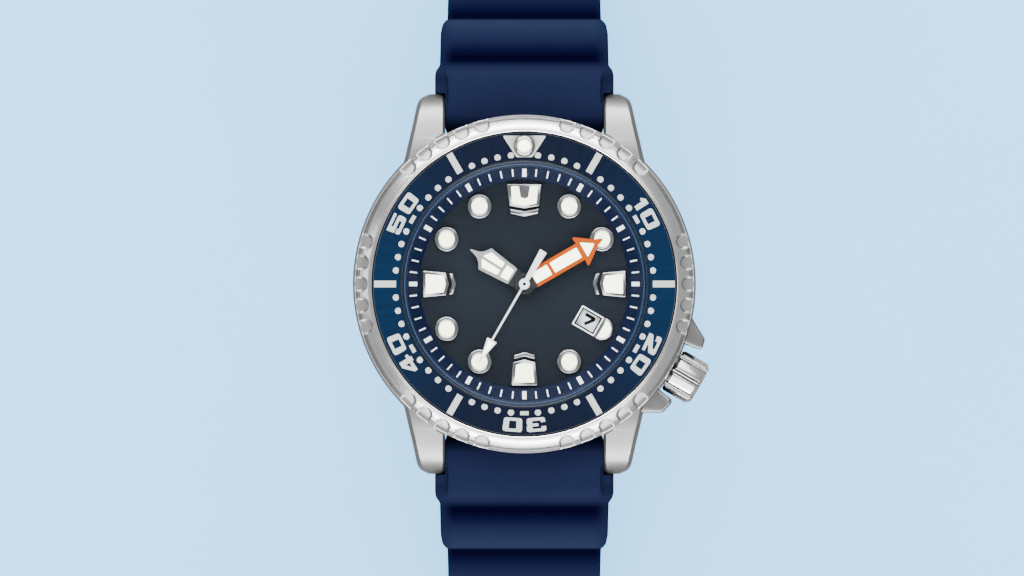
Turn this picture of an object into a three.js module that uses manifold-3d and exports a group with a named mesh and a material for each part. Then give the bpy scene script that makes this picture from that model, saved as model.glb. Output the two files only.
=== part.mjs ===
// A solar-powered diver's wristwatch with a turning bezel, three hands, a date at four o'clock
// and an open moulded strap. Millimetres, +Z out of the dial, +Y to twelve o'clock, +X to three.
// The origin is the centre of the case back's outer face.
import * as THREE from 'three';
import { mergeVertices } from 'three/addons/utils/BufferGeometryUtils.js';
import Module from 'manifold-3d';

const wasm = await Module();
wasm.setup();

// ---- driving dimensions ----
const CASE_R = 22.0;
const CASE_BOTTOM_Z = 1.25;
const CASE_TOP_Z = 8.0;
const BACK_R = 17.3;
const BACK_THICK = 1.2;
const THREAD_R = 16.15;
const WELL_R = 15.75;
const NECK_IN_R = 16.1;
const NECK_OUT_R = 17.0;
const NECK_TOP_Z = 10.2;
const BEZEL_R = 21.75;
const BEZEL_BOTTOM_Z = 8.1;
const BEZEL_TOP_Z = 11.0;
const INSERT_OUT_R = 19.3;
const INSERT_IN_R = 15.9;
const CRYSTAL_TOP_Z = 11.6;
const CRYSTAL_BOTTOM_Z = 9.0;
const DIAL_Z = 6.4;
const DIAL_TOP_Z = 6.8;
const DIAL_R = 15.6;
const MARKER_TOP_Z = 7.2;
const DATE_CLOCK = 120;
const DATE_R = 9.44;
const DATE_LONG = 3.14;
const DATE_WIDE = 2.66;
const STEM_Z = 4.9;
const STEM_R = 0.4;
const CROWN_R = 2.95;
const CROWN_IN = 22.0;
const CROWN_OUT = 26.1;
const TUBE_R = 1.25;
const LUG_GAP = 20.4;
const LUG_CUT_Y = 18.7;
const BAR_Y = 21.5;
const BAR_Z = 3.3;
const BAR_R = 0.9;
const TIP_R = 0.42;
const GAP = 0.05;
const HOUR_CLOCK = 302.6;
const MINUTE_CLOCK = 60;
const SECOND_CLOCK = 210;
const PLATE_Z = 3.8;
const TRAIN_CLOCK = 30;
const FIFTH_CLOCK = 250;
const CELL_CLOCK = 163;
const MINUTE_WHEEL_CLOCK = 300;
// strap path: a bend down, a bend back, then flat on the table
const STRAP_START = THREE.MathUtils.degToRad(8);
const STRAP_STEEP = THREE.MathUtils.degToRad(50);
const BEND_DOWN_R = 18;
const BEND_BACK_R = 30;
const SHORT_END = 91.4;
const LONG_END = 141.4;
const STRAP_HALF = 9.0;
const STRAP_BOTTOM = 1.8;
const THIN_BOTTOM = 0.6;
const WAVE_START = 22.0;
const WAVE_STEP = 6.2;
const WAVE_END = 46.8;
const BUCKLE_Z = -13.2;

const part = new THREE.Group();
part.name = 'wristwatch';

// ---- helpers ----
const rad = (degrees) => THREE.MathUtils.degToRad(degrees);

// position at a clock angle (clockwise from twelve) and a distance from the centre
const atClock = (clock, r) => new THREE.Vector2(r * Math.sin(rad(clock)), r * Math.cos(rad(clock)));

function solid(geometry) {
  const bare = geometry.clone();
  bare.deleteAttribute('normal');
  bare.deleteAttribute('uv');
  const merged = mergeVertices(bare, 1e-4);
  return new wasm.Manifold(new wasm.Mesh({
    numProp: 3,
    vertProperties: new Float32Array(merged.attributes.position.array),
    triVerts: new Uint32Array(merged.index.array),
  }));
}

function geometryOf(manifold) {
  const mesh = manifold.getMesh();
  const geometry = new THREE.BufferGeometry();
  geometry.setAttribute('position', new THREE.BufferAttribute(new Float32Array(mesh.vertProperties), 3));
  geometry.setIndex(new THREE.BufferAttribute(new Uint32Array(mesh.triVerts), 1));
  geometry.computeVertexNormals();
  return geometry;
}

function add(name, shape, color, roughness, metalness) {
  const geometry = shape.isBufferGeometry ? shape : geometryOf(shape);
  const material = new THREE.MeshStandardMaterial({ color, roughness, metalness });
  const mesh = new THREE.Mesh(geometry, material);
  mesh.name = name;
  part.add(mesh);
}

// a turned shape about Z; the profile of [radius, z] pairs runs anticlockwise
function lathe(profile, segments = 60) {
  const points = profile.map(([r, z]) => new THREE.Vector2(r, z));
  if (profile[0][0] > 0) points.push(points[0].clone());
  return new THREE.LatheGeometry(points, segments).rotateX(Math.PI / 2);
}

const ring = (inner, outer, low, high, segments = 40) =>
  lathe([[inner, low], [outer, low], [outer, high], [inner, high]], segments);

function disc(r, low, high, segments = 24) {
  const upright = new THREE.CylinderGeometry(r, r, high - low, segments).rotateX(Math.PI / 2);
  return upright.translate(0, 0, (low + high) / 2);
}

// a round bar along X
const barX = (r, from, to, y, z, segments = 24) =>
  new THREE.CylinderGeometry(r, r, to - from, segments).rotateZ(Math.PI / 2).translate((from + to) / 2, y, z);

const box = (wide, deep, low, high, x = 0, y = 0) =>
  new THREE.BoxGeometry(wide, deep, high - low).translate(x, y, (low + high) / 2);

function polygon(points) {
  return new THREE.Shape(points.map(([x, y]) => new THREE.Vector2(x, y)));
}

// a flat outline raised from one height to another
function slab(shape, low, high, curveSegments = 24) {
  const settings = { depth: high - low, bevelEnabled: false, curveSegments };
  return new THREE.ExtrudeGeometry(shape, settings).translate(0, 0, low);
}

// a side view in the YZ plane drawn out along X
function sideSlab(shape, from, to) {
  const settings = { depth: to - from, bevelEnabled: false, curveSegments: 24 };
  const drawn = new THREE.ExtrudeGeometry(shape, settings).translate(0, 0, from);
  return drawn.rotateX(Math.PI / 2).rotateZ(Math.PI / 2);
}

// turns a geometry drawn pointing to twelve o'clock to another clock angle
const turned = (geometry, clock) => geometry.rotateZ(-rad(clock));

// lays a geometry drawn along +Z so that it points outwards at a clock angle
function radial(geometry, clock, z) {
  return geometry.rotateX(-Math.PI / 2).rotateZ(-rad(clock)).translate(0, 0, z);
}

// a flat toothed wheel, with the tips on the pitch circle less a hair's gap
function toothed(r, teeth, low, high, tooth = 0.16) {
  const points = [];
  for (let i = 0; i < teeth; i += 1) {
    const angle = (i / teeth) * Math.PI * 2;
    const next = ((i + 0.5) / teeth) * Math.PI * 2;
    points.push([(r - 0.04) * Math.cos(angle), (r - 0.04) * Math.sin(angle)]);
    points.push([(r - 0.04 - tooth) * Math.cos(next), (r - 0.04 - tooth) * Math.sin(next)]);
  }
  return slab(polygon(points), low, high);
}

// ---- case ----
// outline of one lug seen from above, in the quarter with positive X and Y
const LUG_PLAN = [
  [10.2, 14.5], [15.6, 14.5], [15.3, 16.3], [14.4, 20.2], [13.75, 23.3], [13.55, 23.75], [13.1, 24.0],
  [11.6, 24.45], [11.2, 24.5], [10.8, 24.35], [10.35, 23.8], [10.2, 23.2],
];
// side of the two lugs at twelve o'clock, as [y, z]
const LUG_SIDE = [
  [12, 1.6], [19, 1.3], [22.2, 1.1], [23.4, 1.25], [24.1, 1.9], [24.5, 2.8], [24.5, 3.4], [24.3, 4.1],
  [23.2, 5.4], [21.6, 6.6], [19.2, 7.4], [17, 7.7], [12, 7.7],
];
// angles from the stem at which the two crown guards begin and end
const GUARD_FROM = { upper: 9.4, lower: 8.0 };
const GUARD_TO = 18.4;
const GUARD_R = 24.2;

function lug(sideX, sideY) {
  const plan = solid(slab(polygon(LUG_PLAN), 0, 9));
  const side = solid(sideSlab(polygon(LUG_SIDE), 9, 17));
  const quarter = plan.intersect(side);
  return quarter.scale([sideX, sideY, 1]);
}

function crownGuard(sign) {
  const from = sign < 0 ? GUARD_FROM.upper : GUARD_FROM.lower;
  const corner = (angle, r) => [Math.sin(rad(angle * sign)) * r, Math.cos(rad(angle)) * r];
  const shape = polygon([
    corner(from, 20), corner(from, 23.9), corner(from + 1, GUARD_R),
    corner(13, GUARD_R), corner(GUARD_TO, 21.8), corner(GUARD_TO, 20),
  ]);
  return turned(slab(shape, 2.4, 7.5), DATE_CLOCK);
}

function midCase() {
  const body = solid(lathe([
    [THREAD_R, CASE_BOTTOM_Z], [16.3, CASE_BOTTOM_Z], [16.3, 1.75], [16.9, 1.75], [16.9, CASE_BOTTOM_Z],
    [19.4, CASE_BOTTOM_Z], [21.4, 2.0], [CASE_R, 3.0], [CASE_R, 7.3], [21.2, CASE_TOP_Z],
    [19.7, CASE_TOP_Z], [19.7, 7.65], [17.8, 7.65], [17.8, CASE_TOP_Z], [NECK_OUT_R, CASE_TOP_Z],
    [NECK_OUT_R, NECK_TOP_Z], [NECK_IN_R, NECK_TOP_Z], [NECK_IN_R, 8.7], [WELL_R, 8.7], [WELL_R, 3.0],
    [THREAD_R, 3.0],
  ]));
  let whole = body;
  for (const sideX of [-1, 1]) {
    for (const sideY of [-1, 1]) {
      whole = whole.add(lug(sideX, sideY));
    }
  }
  for (const sign of [-1, 1]) {
    whole = whole.add(solid(crownGuard(sign)).subtract(solid(disc(20.5, 1, 9, 48))));
  }
  for (const side of [-1, 1]) {
    whole = whole.subtract(solid(box(LUG_GAP, 8, -1, 8.6, 0, side * (LUG_CUT_Y + 4))));
    whole = whole.subtract(solid(barX(TIP_R + 0.08, -11.6, 11.6, side * BAR_Y, BAR_Z, 24)));
  }
  const tubeHole = radial(disc(TUBE_R + GAP, 15, 23, 32), DATE_CLOCK, STEM_Z);
  return whole.subtract(solid(tubeHole));
}

function caseBack() {
  let back = solid(lathe([
    [0, 0], [16.6, 0], [BACK_R, 0.6], [BACK_R, BACK_THICK], [THREAD_R - 0.1, BACK_THICK],
    [THREAD_R - 0.1, 2.8], [14.8, 2.8], [14.8, BACK_THICK], [0, BACK_THICK],
  ]));
  for (let i = 0; i < 6; i += 1) {
    const notch = box(2.4, 2.2, -1, 0.5, 0, 15.7);
    back = back.subtract(solid(turned(notch, i * 60 + 30)));
  }
  return back;
}

add('mid_case', midCase(), 0xc4c5c5, 0.34, 1.0);
add('case_back', caseBack(), 0xbfc1c2, 0.25, 1.0);
add('case_back_gasket', ring(16.35, 16.85, 1.27, 1.7), 0x1b1b1d, 0.6, 0.0);

// ---- crystal, chapter ring and dial ----
const crystalProfile = [
  [0, CRYSTAL_BOTTOM_Z], [15.55, CRYSTAL_BOTTOM_Z], [15.55, 10.25], [15.78, 10.4], [15.78, 11.15],
  [15.0, CRYSTAL_TOP_Z], [0, CRYSTAL_TOP_Z],
];
add('crystal', lathe(crystalProfile), 0xdfe9ee, 0.05, 0.0);
add('crystal_gasket', ring(15.65, 16.04, 8.75, 10.1), 0x1b1b1d, 0.5, 0.0);
const chapterProfile = [[13.4, 6.85], [15.5, 6.85], [15.5, 8.95], [15.2, 8.95], [13.4, 7.05]];
add('chapter_ring', lathe(chapterProfile), 0x16263f, 0.45, 0.2);

// an hour block pointing to twelve o'clock, wider at its outer end
function hourBlock(inner, outer, innerHalf, outerHalf) {
  const tip = inner + innerHalf * 0.45;
  return slab(polygon([
    [0, inner], [innerHalf, tip], [outerHalf, outer], [-outerHalf, outer], [-innerHalf, tip],
  ]), DIAL_TOP_Z - 0.2, MARKER_TOP_Z);
}

const dateHole = (margin, low, high) =>
  turned(box(DATE_WIDE + margin, DATE_LONG + margin, low, high, 0, DATE_R), DATE_CLOCK);

const ROUND_MARKER_AT = 11.52;
const ROUND_MARKER_R = 1.5;

function dialPlate() {
  let dial = solid(ring(1.1, DIAL_R, DIAL_Z, DIAL_TOP_Z, 60));
  for (const hour of [1, 2, 5, 7, 8, 10, 11]) {
    const centre = atClock(hour * 30, ROUND_MARKER_AT);
    const marker = disc(ROUND_MARKER_R, DIAL_TOP_Z - 0.2, MARKER_TOP_Z, 20).translate(centre.x, centre.y, 0);
    dial = dial.add(solid(marker));
  }
  dial = dial.add(solid(turned(box(2.7, 1.7, DIAL_TOP_Z - 0.2, MARKER_TOP_Z, 0, 12.15), DATE_CLOCK)));
  dial = dial.add(solid(hourBlock(8.45, 12.8, 1.75, 2.3)));
  for (const hour of [3, 6, 9]) {
    dial = dial.add(solid(turned(hourBlock(8.7, 13.1, 1.4, 1.78), hour * 30)));
  }
  dial = dial.add(solid(dateHole(0.5, DIAL_TOP_Z - 0.1, DIAL_TOP_Z + 0.2)));
  return dial.subtract(solid(dateHole(-0.5, 6, 8)));
}

add('dial', dialPlate(), 0x2b313b, 0.5, 0.3);
const cellSheet = solid(ring(1.3, 12.9, 6.15, 6.35)).subtract(solid(dateHole(0, 6, 7)));
add('solar_cell', cellSheet, 0x14161d, 0.3, 0.1);

// ---- turning bezel ----
const SCALLOP_HALF = 0.8;
const SCALLOP_R = 20.9;

function bezelRing() {
  let bezel = solid(lathe([
    [17.1, BEZEL_BOTTOM_Z], [21.3, BEZEL_BOTTOM_Z], [BEZEL_R, 8.5], [BEZEL_R, 9.3],
    [21.6, 10.5], [21.0, BEZEL_TOP_Z], [19.6, BEZEL_TOP_Z], [INSERT_OUT_R + GAP, 10.8],
    [INSERT_OUT_R + GAP, 10.25], [17.1, 10.25], [17.1, 9.5], [17.7, 9.5], [17.7, 8.9], [17.1, 8.9],
  ]));
  const slot = new THREE.Shape();
  slot.moveTo(SCALLOP_HALF, 22.5);
  slot.lineTo(-SCALLOP_HALF, 22.5);
  slot.lineTo(-SCALLOP_HALF, SCALLOP_R);
  slot.absarc(0, SCALLOP_R, SCALLOP_HALF, Math.PI, Math.PI * 2, false);
  for (let group = 0; group < 6; group += 1) {
    for (let i = -2; i <= 2; i += 1) {
      const cut = turned(slab(slot, 9.3, 12, 5), 30 + group * 60 + i * 7.5);
      bezel = bezel.subtract(solid(cut));
    }
  }
  return bezel;
}

const PIP_R = 17.65;
const PIP_CUP_R = 1.34;

function bezelInsert() {
  const plate = solid(lathe([
    [INSERT_IN_R, 10.3], [INSERT_OUT_R, 10.3], [INSERT_OUT_R, 10.85], [INSERT_IN_R, 11.1],
  ]));
  return plate.subtract(solid(disc(PIP_CUP_R + GAP, 9, 12).translate(0, PIP_R, 0)));
}

add('bezel_ring', bezelRing(), 0xd2d4d5, 0.2, 1.0);
add('bezel_insert', bezelInsert(), 0x10355c, 0.3, 0.6);
const pip = lathe([
  [0, 10.3], [PIP_CUP_R, 10.3], [PIP_CUP_R, 11.1], [0.95, 11.25], [0.6, 11.2], [0, 11.28],
], 32).translate(0, PIP_R, 0);
add('bezel_pip', pip, 0xf6f8ed, 0.5, 0.0);
add('bezel_gasket', ring(17.12, 17.6, 8.95, 9.45), 0x1b1b1d, 0.6, 0.0);

// an open spring ring in the groove under the bezel, with a raised end
function clickSpring() {
  const shape = new THREE.Shape();
  shape.absarc(0, 0, 19.5, rad(10), rad(350), false);
  shape.absarc(0, 0, 18.2, rad(350), rad(10), true);
  return slab(shape, 7.7, 7.95, 22);
}
add('bezel_click_spring', clickSpring(), 0xb8b8b4, 0.3, 1.0);

// ---- crown on its tube and stem ----
function crownBody() {
  const points = [];
  const lobes = 8;
  for (let i = 0; i < lobes; i += 1) {
    const steps = [[0, 0.32], [5, 0.32], [8, 0.1], [13, 0], [22.5, 0], [32, 0], [37, 0.1], [40, 0.32]];
    for (const [angle, depth] of steps) {
      const a = rad(i * 45 + angle);
      points.push([(CROWN_R - depth) * Math.cos(a), (CROWN_R - depth) * Math.sin(a)]);
    }
  }
  const grip = solid(slab(polygon(points), CROWN_IN, CROWN_OUT));
  const envelope = solid(lathe([
    [0, CROWN_IN], [2.6, CROWN_IN], [CROWN_R + 0.05, CROWN_IN + 0.4], [CROWN_R + 0.05, CROWN_OUT - 0.6],
    [2.4, CROWN_OUT], [0, CROWN_OUT],
  ], 48));
  const recess = solid(disc(1.5, CROWN_IN - 1, 24.4));
  return grip.intersect(envelope).subtract(recess);
}

const alongStem = (shape) => radial(shape.isBufferGeometry ? shape : geometryOf(shape), DATE_CLOCK, STEM_Z);
add('crown', alongStem(crownBody()), 0xcdcfd0, 0.2, 1.0);
add('crown_stem', alongStem(disc(STEM_R, 8.2, 24.35, 20)), 0xb0b2b4, 0.3, 1.0);
add('crown_gasket', alongStem(ring(1.29, 1.47, 22.9, 23.5, 32)), 0x1b1b1d, 0.6, 0.0);
add('crown_tube', alongStem(ring(0.6, TUBE_R, 15.9, 23.9, 32)), 0xb9bbbd, 0.3, 1.0);
add('clutch_wheel', alongStem(ring(STEM_R + GAP, 0.85, 9.0, 10.4, 20)), 0xb8aa78, 0.3, 1.0);

// ---- movement: fixed pieces ----
// a box standing on the stem's line, given by its distances from the centre
const stemBox = (from, to, wide, low, high) =>
  turned(box(wide, to - from, low, high, 0, (from + to) / 2), DATE_CLOCK);

function mainPlate() {
  const plate = solid(lathe([
    [0.8, PLATE_Z], [13.0, PLATE_Z], [13.0, 6.1], [11.25, 6.1], [11.25, 5.7], [8.9, 5.7],
    [8.9, 4.5], [0.8, 4.5],
  ], 64));
  const clutchWindow = solid(stemBox(8.6, 10.8, 2.1, 3, 7));
  const stemChannel = solid(stemBox(7.9, 14, 1.2, 4.3, 5.45));
  return plate.subtract(clutchWindow).subtract(stemChannel);
}

function movementRing() {
  const holder = solid(ring(13.2, 15.55, 3.1, 6.3, 64));
  return holder.subtract(solid(stemBox(12, 17, 1.4, 4.2, 5.6)));
}

const CELL_R = 4.75;
const cellCentre = atClock(CELL_CLOCK, 8.0);
const fifthCentre = atClock(FIFTH_CLOCK, 3.0);
const rotorCentre = atClock(FIFTH_CLOCK, 5.1);
const thirdCentre = atClock(TRAIN_CLOCK, 3.4);
const minuteWheelCentre = atClock(MINUTE_WHEEL_CLOCK, 3.6);

function trainBridge() {
  const plate = solid(disc(6.7, 2.2, 2.45, 48));
  return plate.subtract(solid(disc(CELL_R + 0.2, 2, 3, 48).translate(cellCentre.x, cellCentre.y, 0)));
}

function circuitBoard() {
  const shape = new THREE.Shape();
  shape.absarc(0, 0, 12.6, rad(-15), rad(150), false);
  shape.absarc(0, 0, 7.0, rad(150), rad(-15), true);
  return slab(shape, 2.25, 2.45, 14);
}

function stator() {
  const plate = solid(box(8.8, 3.9, 3.3, 3.6, 0, 5.65));
  const magnetHole = solid(disc(1.25, 3, 4, 24).translate(0, 5.1, 0));
  return geometryOf(plate.subtract(magnetHole));
}

const CLAMP_HALF = 5.6;
add('main_plate', mainPlate(), 0xb9b08a, 0.35, 1.0);
add('movement_ring', movementRing(), 0xdadad4, 0.6, 0.0);
add('train_bridge', trainBridge(), 0xc9c4ae, 0.3, 1.0);
add('circuit_board', circuitBoard(), 0x2a5b3c, 0.5, 0.0);
add('stator', turned(stator(), FIFTH_CLOCK), 0xa8aaac, 0.35, 1.0);
add('coil', turned(barX(0.8, -4.6, 4.6, 8.7, 2.85, 20), FIFTH_CLOCK), 0xb5652a, 0.35, 0.8);
add('quartz_can', turned(barX(0.6, -3, 3, 9.6, 3.15, 20), 10), 0xc0c2c4, 0.2, 1.0);
const cellBody = disc(CELL_R, 1.95, 3.5, 48).translate(cellCentre.x, cellCentre.y, 0);
add('storage_cell', cellBody, 0xc6c8ca, 0.25, 1.0);
add('cell_clamp', turned(box(3.6, CLAMP_HALF * 2, 1.6, 1.85, 0, 8.0), CELL_CLOCK), 0xb6b8ba, 0.3, 1.0);

// ---- movement: wheels ----
const moved = (geometry, centre) => geometry.translate(centre.x, centre.y, 0);
const FOURTH_PINION = 0.4;
const THIRD_WHEEL = 3.0;
const CENTRE_WHEEL = 3.4 * (8 / 9);
const THIRD_PINION = 3.4 / 9;

function hourWheel() {
  const wheel = solid(toothed(2.88, 32, 5.15, 5.4)).add(solid(disc(0.85, 5.2, 7.6, 24)));
  return wheel.subtract(solid(disc(0.62, 4, 9, 24)));
}

function cannonPinion() {
  const pinion = solid(toothed(0.9, 12, 4.75, 5.05)).add(solid(disc(0.55, 3.7, 8.15, 24)));
  return pinion.subtract(solid(disc(0.28, 3, 9, 20)));
}

const minuteWheel = solid(toothed(2.7, 30, 4.75, 5.0)).add(solid(toothed(0.72, 12, 4.9, 5.4)));
const fourthWheel = solid(toothed(2.5, 30, 2.7, 2.88))
  .add(solid(disc(0.2, 2.5, 8.65, 16)))
  .add(solid(toothed(FOURTH_PINION, 8, 2.8, 3.15, 0.1)));
const thirdWheel = solid(toothed(THIRD_WHEEL, 36, 2.95, 3.13))
  .add(solid(disc(0.15, 2.5, 3.75, 12)))
  .add(solid(toothed(THIRD_PINION, 8, 3.0, 3.5, 0.1)));
const centreWheel = solid(toothed(CENTRE_WHEEL, 36, 3.25, 3.5)).subtract(solid(disc(0.26, 3, 4, 20)));
const fifthWheel = solid(toothed(1.8, 24, 2.95, 3.13))
  .add(solid(disc(0.15, 2.5, 3.75, 12)))
  .add(solid(toothed(0.5, 10, 2.7, 3.0, 0.12)));
const rotor = solid(disc(1.0, 3.25, 3.7, 24))
  .add(solid(disc(0.15, 2.5, 3.75, 12)))
  .add(solid(toothed(0.3, 6, 2.95, 3.3, 0.08)));

add('hour_wheel', hourWheel(), 0xc8b274, 0.3, 1.0);
add('cannon_pinion', cannonPinion(), 0xc8b274, 0.3, 1.0);
add('minute_wheel', moved(geometryOf(minuteWheel), minuteWheelCentre), 0xc8b274, 0.3, 1.0);
add('fourth_wheel', fourthWheel, 0xc8b274, 0.3, 1.0);
add('third_wheel', moved(geometryOf(thirdWheel), thirdCentre), 0xc8b274, 0.3, 1.0);
add('centre_wheel', centreWheel, 0xc8b274, 0.3, 1.0);
add('fifth_wheel', moved(geometryOf(fifthWheel), fifthCentre), 0xe4ddc8, 0.4, 0.0);
add('rotor', moved(geometryOf(rotor), rotorCentre), 0x6e7073, 0.35, 0.9);

// the date ring: thirty-one inward teeth
function dateDisc() {
  const shape = new THREE.Shape();
  shape.absarc(0, 0, 11.15, 0, Math.PI * 2, false);
  const hole = new THREE.Path();
  const teeth = 31;
  for (let i = teeth; i > 0; i -= 1) {
    const angle = (i / teeth) * Math.PI * 2;
    const next = ((i - 0.5) / teeth) * Math.PI * 2;
    if (i === teeth) hole.moveTo(7.5 * Math.cos(angle), 7.5 * Math.sin(angle));
    else hole.lineTo(7.5 * Math.cos(angle), 7.5 * Math.sin(angle));
    hole.lineTo(7.85 * Math.cos(next), 7.85 * Math.sin(next));
  }
  hole.closePath();
  shape.holes.push(hole);
  return slab(shape, 5.8, 6.05, 32);
}
add('date_disc', dateDisc(), 0xf3f3ee, 0.5, 0.0);

// ---- hands, each drawn pointing to twelve o'clock ----
function hand(points, hub, hole, low, high) {
  const blade = solid(slab(polygon(points), low, high));
  const boss = solid(disc(hub, low, high, 32));
  const bore = solid(disc(hole, low - 1, high + 1, 24));
  return geometryOf(blade.add(boss).subtract(bore));
}

const HOUR_OUTLINE = [
  [-1.2, 0], [1.2, 0], [1.25, 1.3], [1.6, 6.04], [0.75, 6.6], [0.35, 7.2], [0.1, 8.24],
  [-0.1, 8.24], [-0.35, 7.2], [-0.75, 6.6], [-1.6, 6.04], [-1.25, 1.3],
];
const MINUTE_OUTLINE = [
  [-1.1, 0], [1.1, 0], [1.15, 8.3], [1.96, 8.36], [0.4, 10.7], [0.1, 11.5],
  [-0.1, 11.5], [-0.4, 10.7], [-1.96, 8.36], [-1.15, 8.3],
];
const SECOND_OUTLINE = [
  [-0.5, -4.87], [0.5, -4.87], [0.28, -0.5], [0.15, 0.5], [0.15, 8.2], [0.7, 8.3], [0.12, 11.0], [0.08, 11.6],
  [-0.08, 11.6], [-0.12, 11.0], [-0.7, 8.3], [-0.15, 8.2], [-0.15, 0.5], [-0.28, -0.5],
];
add('hour_hand', turned(hand(HOUR_OUTLINE, 1.35, 0.87, 7.3, 7.55), HOUR_CLOCK), 0xd9dbdb, 0.25, 1.0);
add('minute_hand', turned(hand(MINUTE_OUTLINE, 1.25, 0.57, 7.85, 8.1), MINUTE_CLOCK), 0xdc7638, 0.5, 0.0);
add('second_hand', turned(hand(SECOND_OUTLINE, 0.7, 0.22, 8.4, 8.6), SECOND_CLOCK), 0xe2e4e4, 0.3, 0.8);

// ---- spring bars ----
function springBar(side) {
  const tube = solid(barX(BAR_R, -9.9, 9.9, side * BAR_Y, BAR_Z));
  const left = solid(barX(TIP_R + 0.08, -11, -6.5, side * BAR_Y, BAR_Z, 16));
  const right = solid(barX(TIP_R + 0.08, 6.5, 11, side * BAR_Y, BAR_Z, 16));
  return tube.subtract(left).subtract(right);
}

for (const [end, side] of [['12', 1], ['6', -1]]) {
  add(`spring_bar_${end}`, springBar(side), 0xb4b6b8, 0.3, 1.0);
  add(`spring_tip_${end}_left`, barX(TIP_R, -11.1, -8, side * BAR_Y, BAR_Z, 16), 0xc4c6c8, 0.25, 1.0);
  add(`spring_tip_${end}_right`, barX(TIP_R, 8, 11.1, side * BAR_Y, BAR_Z, 16), 0xc4c6c8, 0.25, 1.0);
}

// ---- strap ----
const DOWN_LENGTH = BEND_DOWN_R * (STRAP_STEEP - STRAP_START);
const BACK_LENGTH = BEND_BACK_R * STRAP_STEEP;
const downY = BAR_Y + BEND_DOWN_R * (Math.sin(STRAP_STEEP) - Math.sin(STRAP_START));
const downZ = BAR_Z - BEND_DOWN_R * (Math.cos(STRAP_START) - Math.cos(STRAP_STEEP));
const flatY = downY + BEND_BACK_R * Math.sin(STRAP_STEEP);
const flatZ = downZ - BEND_BACK_R * (1 - Math.cos(STRAP_STEEP));

// centre line of the strap at a length from the spring bar: position and downward slope
function strapPath(length) {
  if (length < DOWN_LENGTH) {
    const slope = STRAP_START + length / BEND_DOWN_R;
    const y = BAR_Y + BEND_DOWN_R * (Math.sin(slope) - Math.sin(STRAP_START));
    return [y, BAR_Z - BEND_DOWN_R * (Math.cos(STRAP_START) - Math.cos(slope)), slope];
  }
  if (length < DOWN_LENGTH + BACK_LENGTH) {
    const slope = STRAP_STEEP - (length - DOWN_LENGTH) / BEND_BACK_R;
    const y = downY + BEND_BACK_R * (Math.sin(STRAP_STEEP) - Math.sin(slope));
    return [y, downZ - BEND_BACK_R * (Math.cos(slope) - Math.cos(STRAP_STEEP)), slope];
  }
  return [flatY + length - DOWN_LENGTH - BACK_LENGTH, flatZ, 0];
}

// height of the ribbed upper face above the centre line
function topHeight(y) {
  const thin = THREE.MathUtils.smoothstep(y, 44, 62);
  const plain = THREE.MathUtils.lerp(2.3, 1.6, thin);
  if (y < WAVE_START || y > WAVE_END) return plain;
  const phase = ((y - WAVE_START) / WAVE_STEP) % 1;
  return plain - 0.9 + 1.3 * (0.5 - 0.5 * Math.cos(Math.PI * 2 * phase ** 1.4));
}

const ROUND_END = 2.25;
const FIRST_LENGTH = 1.2;

// one half seen from the side, the end at the spring bar rounded about it
function strapSide(endY, bottomHeight) {
  const total = DOWN_LENGTH + BACK_LENGTH + endY - flatY;
  const upper = [];
  const lower = [];
  const steps = 56;
  for (let i = 0; i <= steps; i += 1) {
    const length = FIRST_LENGTH + ((total - FIRST_LENGTH) * i) / steps;
    const [y, z, slope] = strapPath(length);
    const up = topHeight(y);
    const down = bottomHeight(y);
    upper.push([y + up * Math.sin(slope), z + up * Math.cos(slope)]);
    lower.push([y - down * Math.sin(slope), z - down * Math.cos(slope)]);
  }
  const end = [];
  for (let i = 1; i < 12; i += 1) {
    const angle = rad(85 + i * 15);
    end.push([BAR_Y + ROUND_END * Math.cos(angle), BAR_Z + ROUND_END * Math.sin(angle)]);
  }
  return polygon([...lower, ...upper.reverse(), ...end]);
}

// half widths seen from above, as [y, half width]
const STRAP_PLAN = [
  [18.9, 8.2], [19.4, 9.3], [20.4, 10.1], [24.2, 10.1], [24.22, 10.9], [24.6, 11.4], [25.0, 11.5],
  [27.4, 11.5],
  [28.2, 11.1], [28.6, 10.6], [29.6, 10.85], [33.8, 10.85], [34.4, 10.5], [34.8, 9.8], [35.8, 9.95], [40.0, 9.9],
  [40.6, 9.6], [41.0, 9.3], [42.0, 9.5], [50, 9.3], [60, STRAP_HALF],
];

function strapPlan(tail) {
  const right = [...STRAP_PLAN, ...tail].map(([y, half]) => [half, y]);
  const left = [...STRAP_PLAN, ...tail].map(([y, half]) => [-half, y]).reverse();
  return slab(polygon([...right, ...left]), -20, 12);
}

// room for the lugs beside the end of the strap as it swings
const SWING_R = 3.12;

function strapHalf(endY, bottomHeight, tail) {
  const side = solid(sideSlab(strapSide(endY, bottomHeight), -13, 13));
  let strap = side.intersect(solid(strapPlan(tail)));
  strap = strap.subtract(solid(barX(BAR_R + 0.1, -14, 14, BAR_Y, BAR_Z, 32)));
  for (const edge of [-1, 1]) {
    const from = edge < 0 ? -14.1 : 10.1;
    strap = strap.subtract(solid(barX(SWING_R, from, from + 4, BAR_Y, BAR_Z, 48)));
  }
  return strap;
}

const TANG_SLOT = 1.7;

function strapShort() {
  const thinning = (y) => THREE.MathUtils.smoothstep(y, 61, 67);
  const bottom = (y) => THREE.MathUtils.lerp(STRAP_BOTTOM, THIN_BOTTOM, thinning(y));
  let strap = strapHalf(SHORT_END, bottom, [[88, STRAP_HALF], [SHORT_END, STRAP_HALF]]);
  strap = strap.add(solid(barX(1.9, -STRAP_HALF, STRAP_HALF, SHORT_END, BUCKLE_Z, 32)));
  strap = strap.subtract(solid(barX(0.9, -14, 14, SHORT_END, BUCKLE_Z, 32)));
  return strap.subtract(solid(box(TANG_SLOT * 2, 8, -20, 0, 0, SHORT_END + 1.4)));
}

// oblong buckle holes along the long half
const HOLES = 8;
const FIRST_HOLE = 86;
const HOLE_STEP = 6.5;
const HOLE_R = 1.1;
const HOLE_SHIFT = 0.5;

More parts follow.
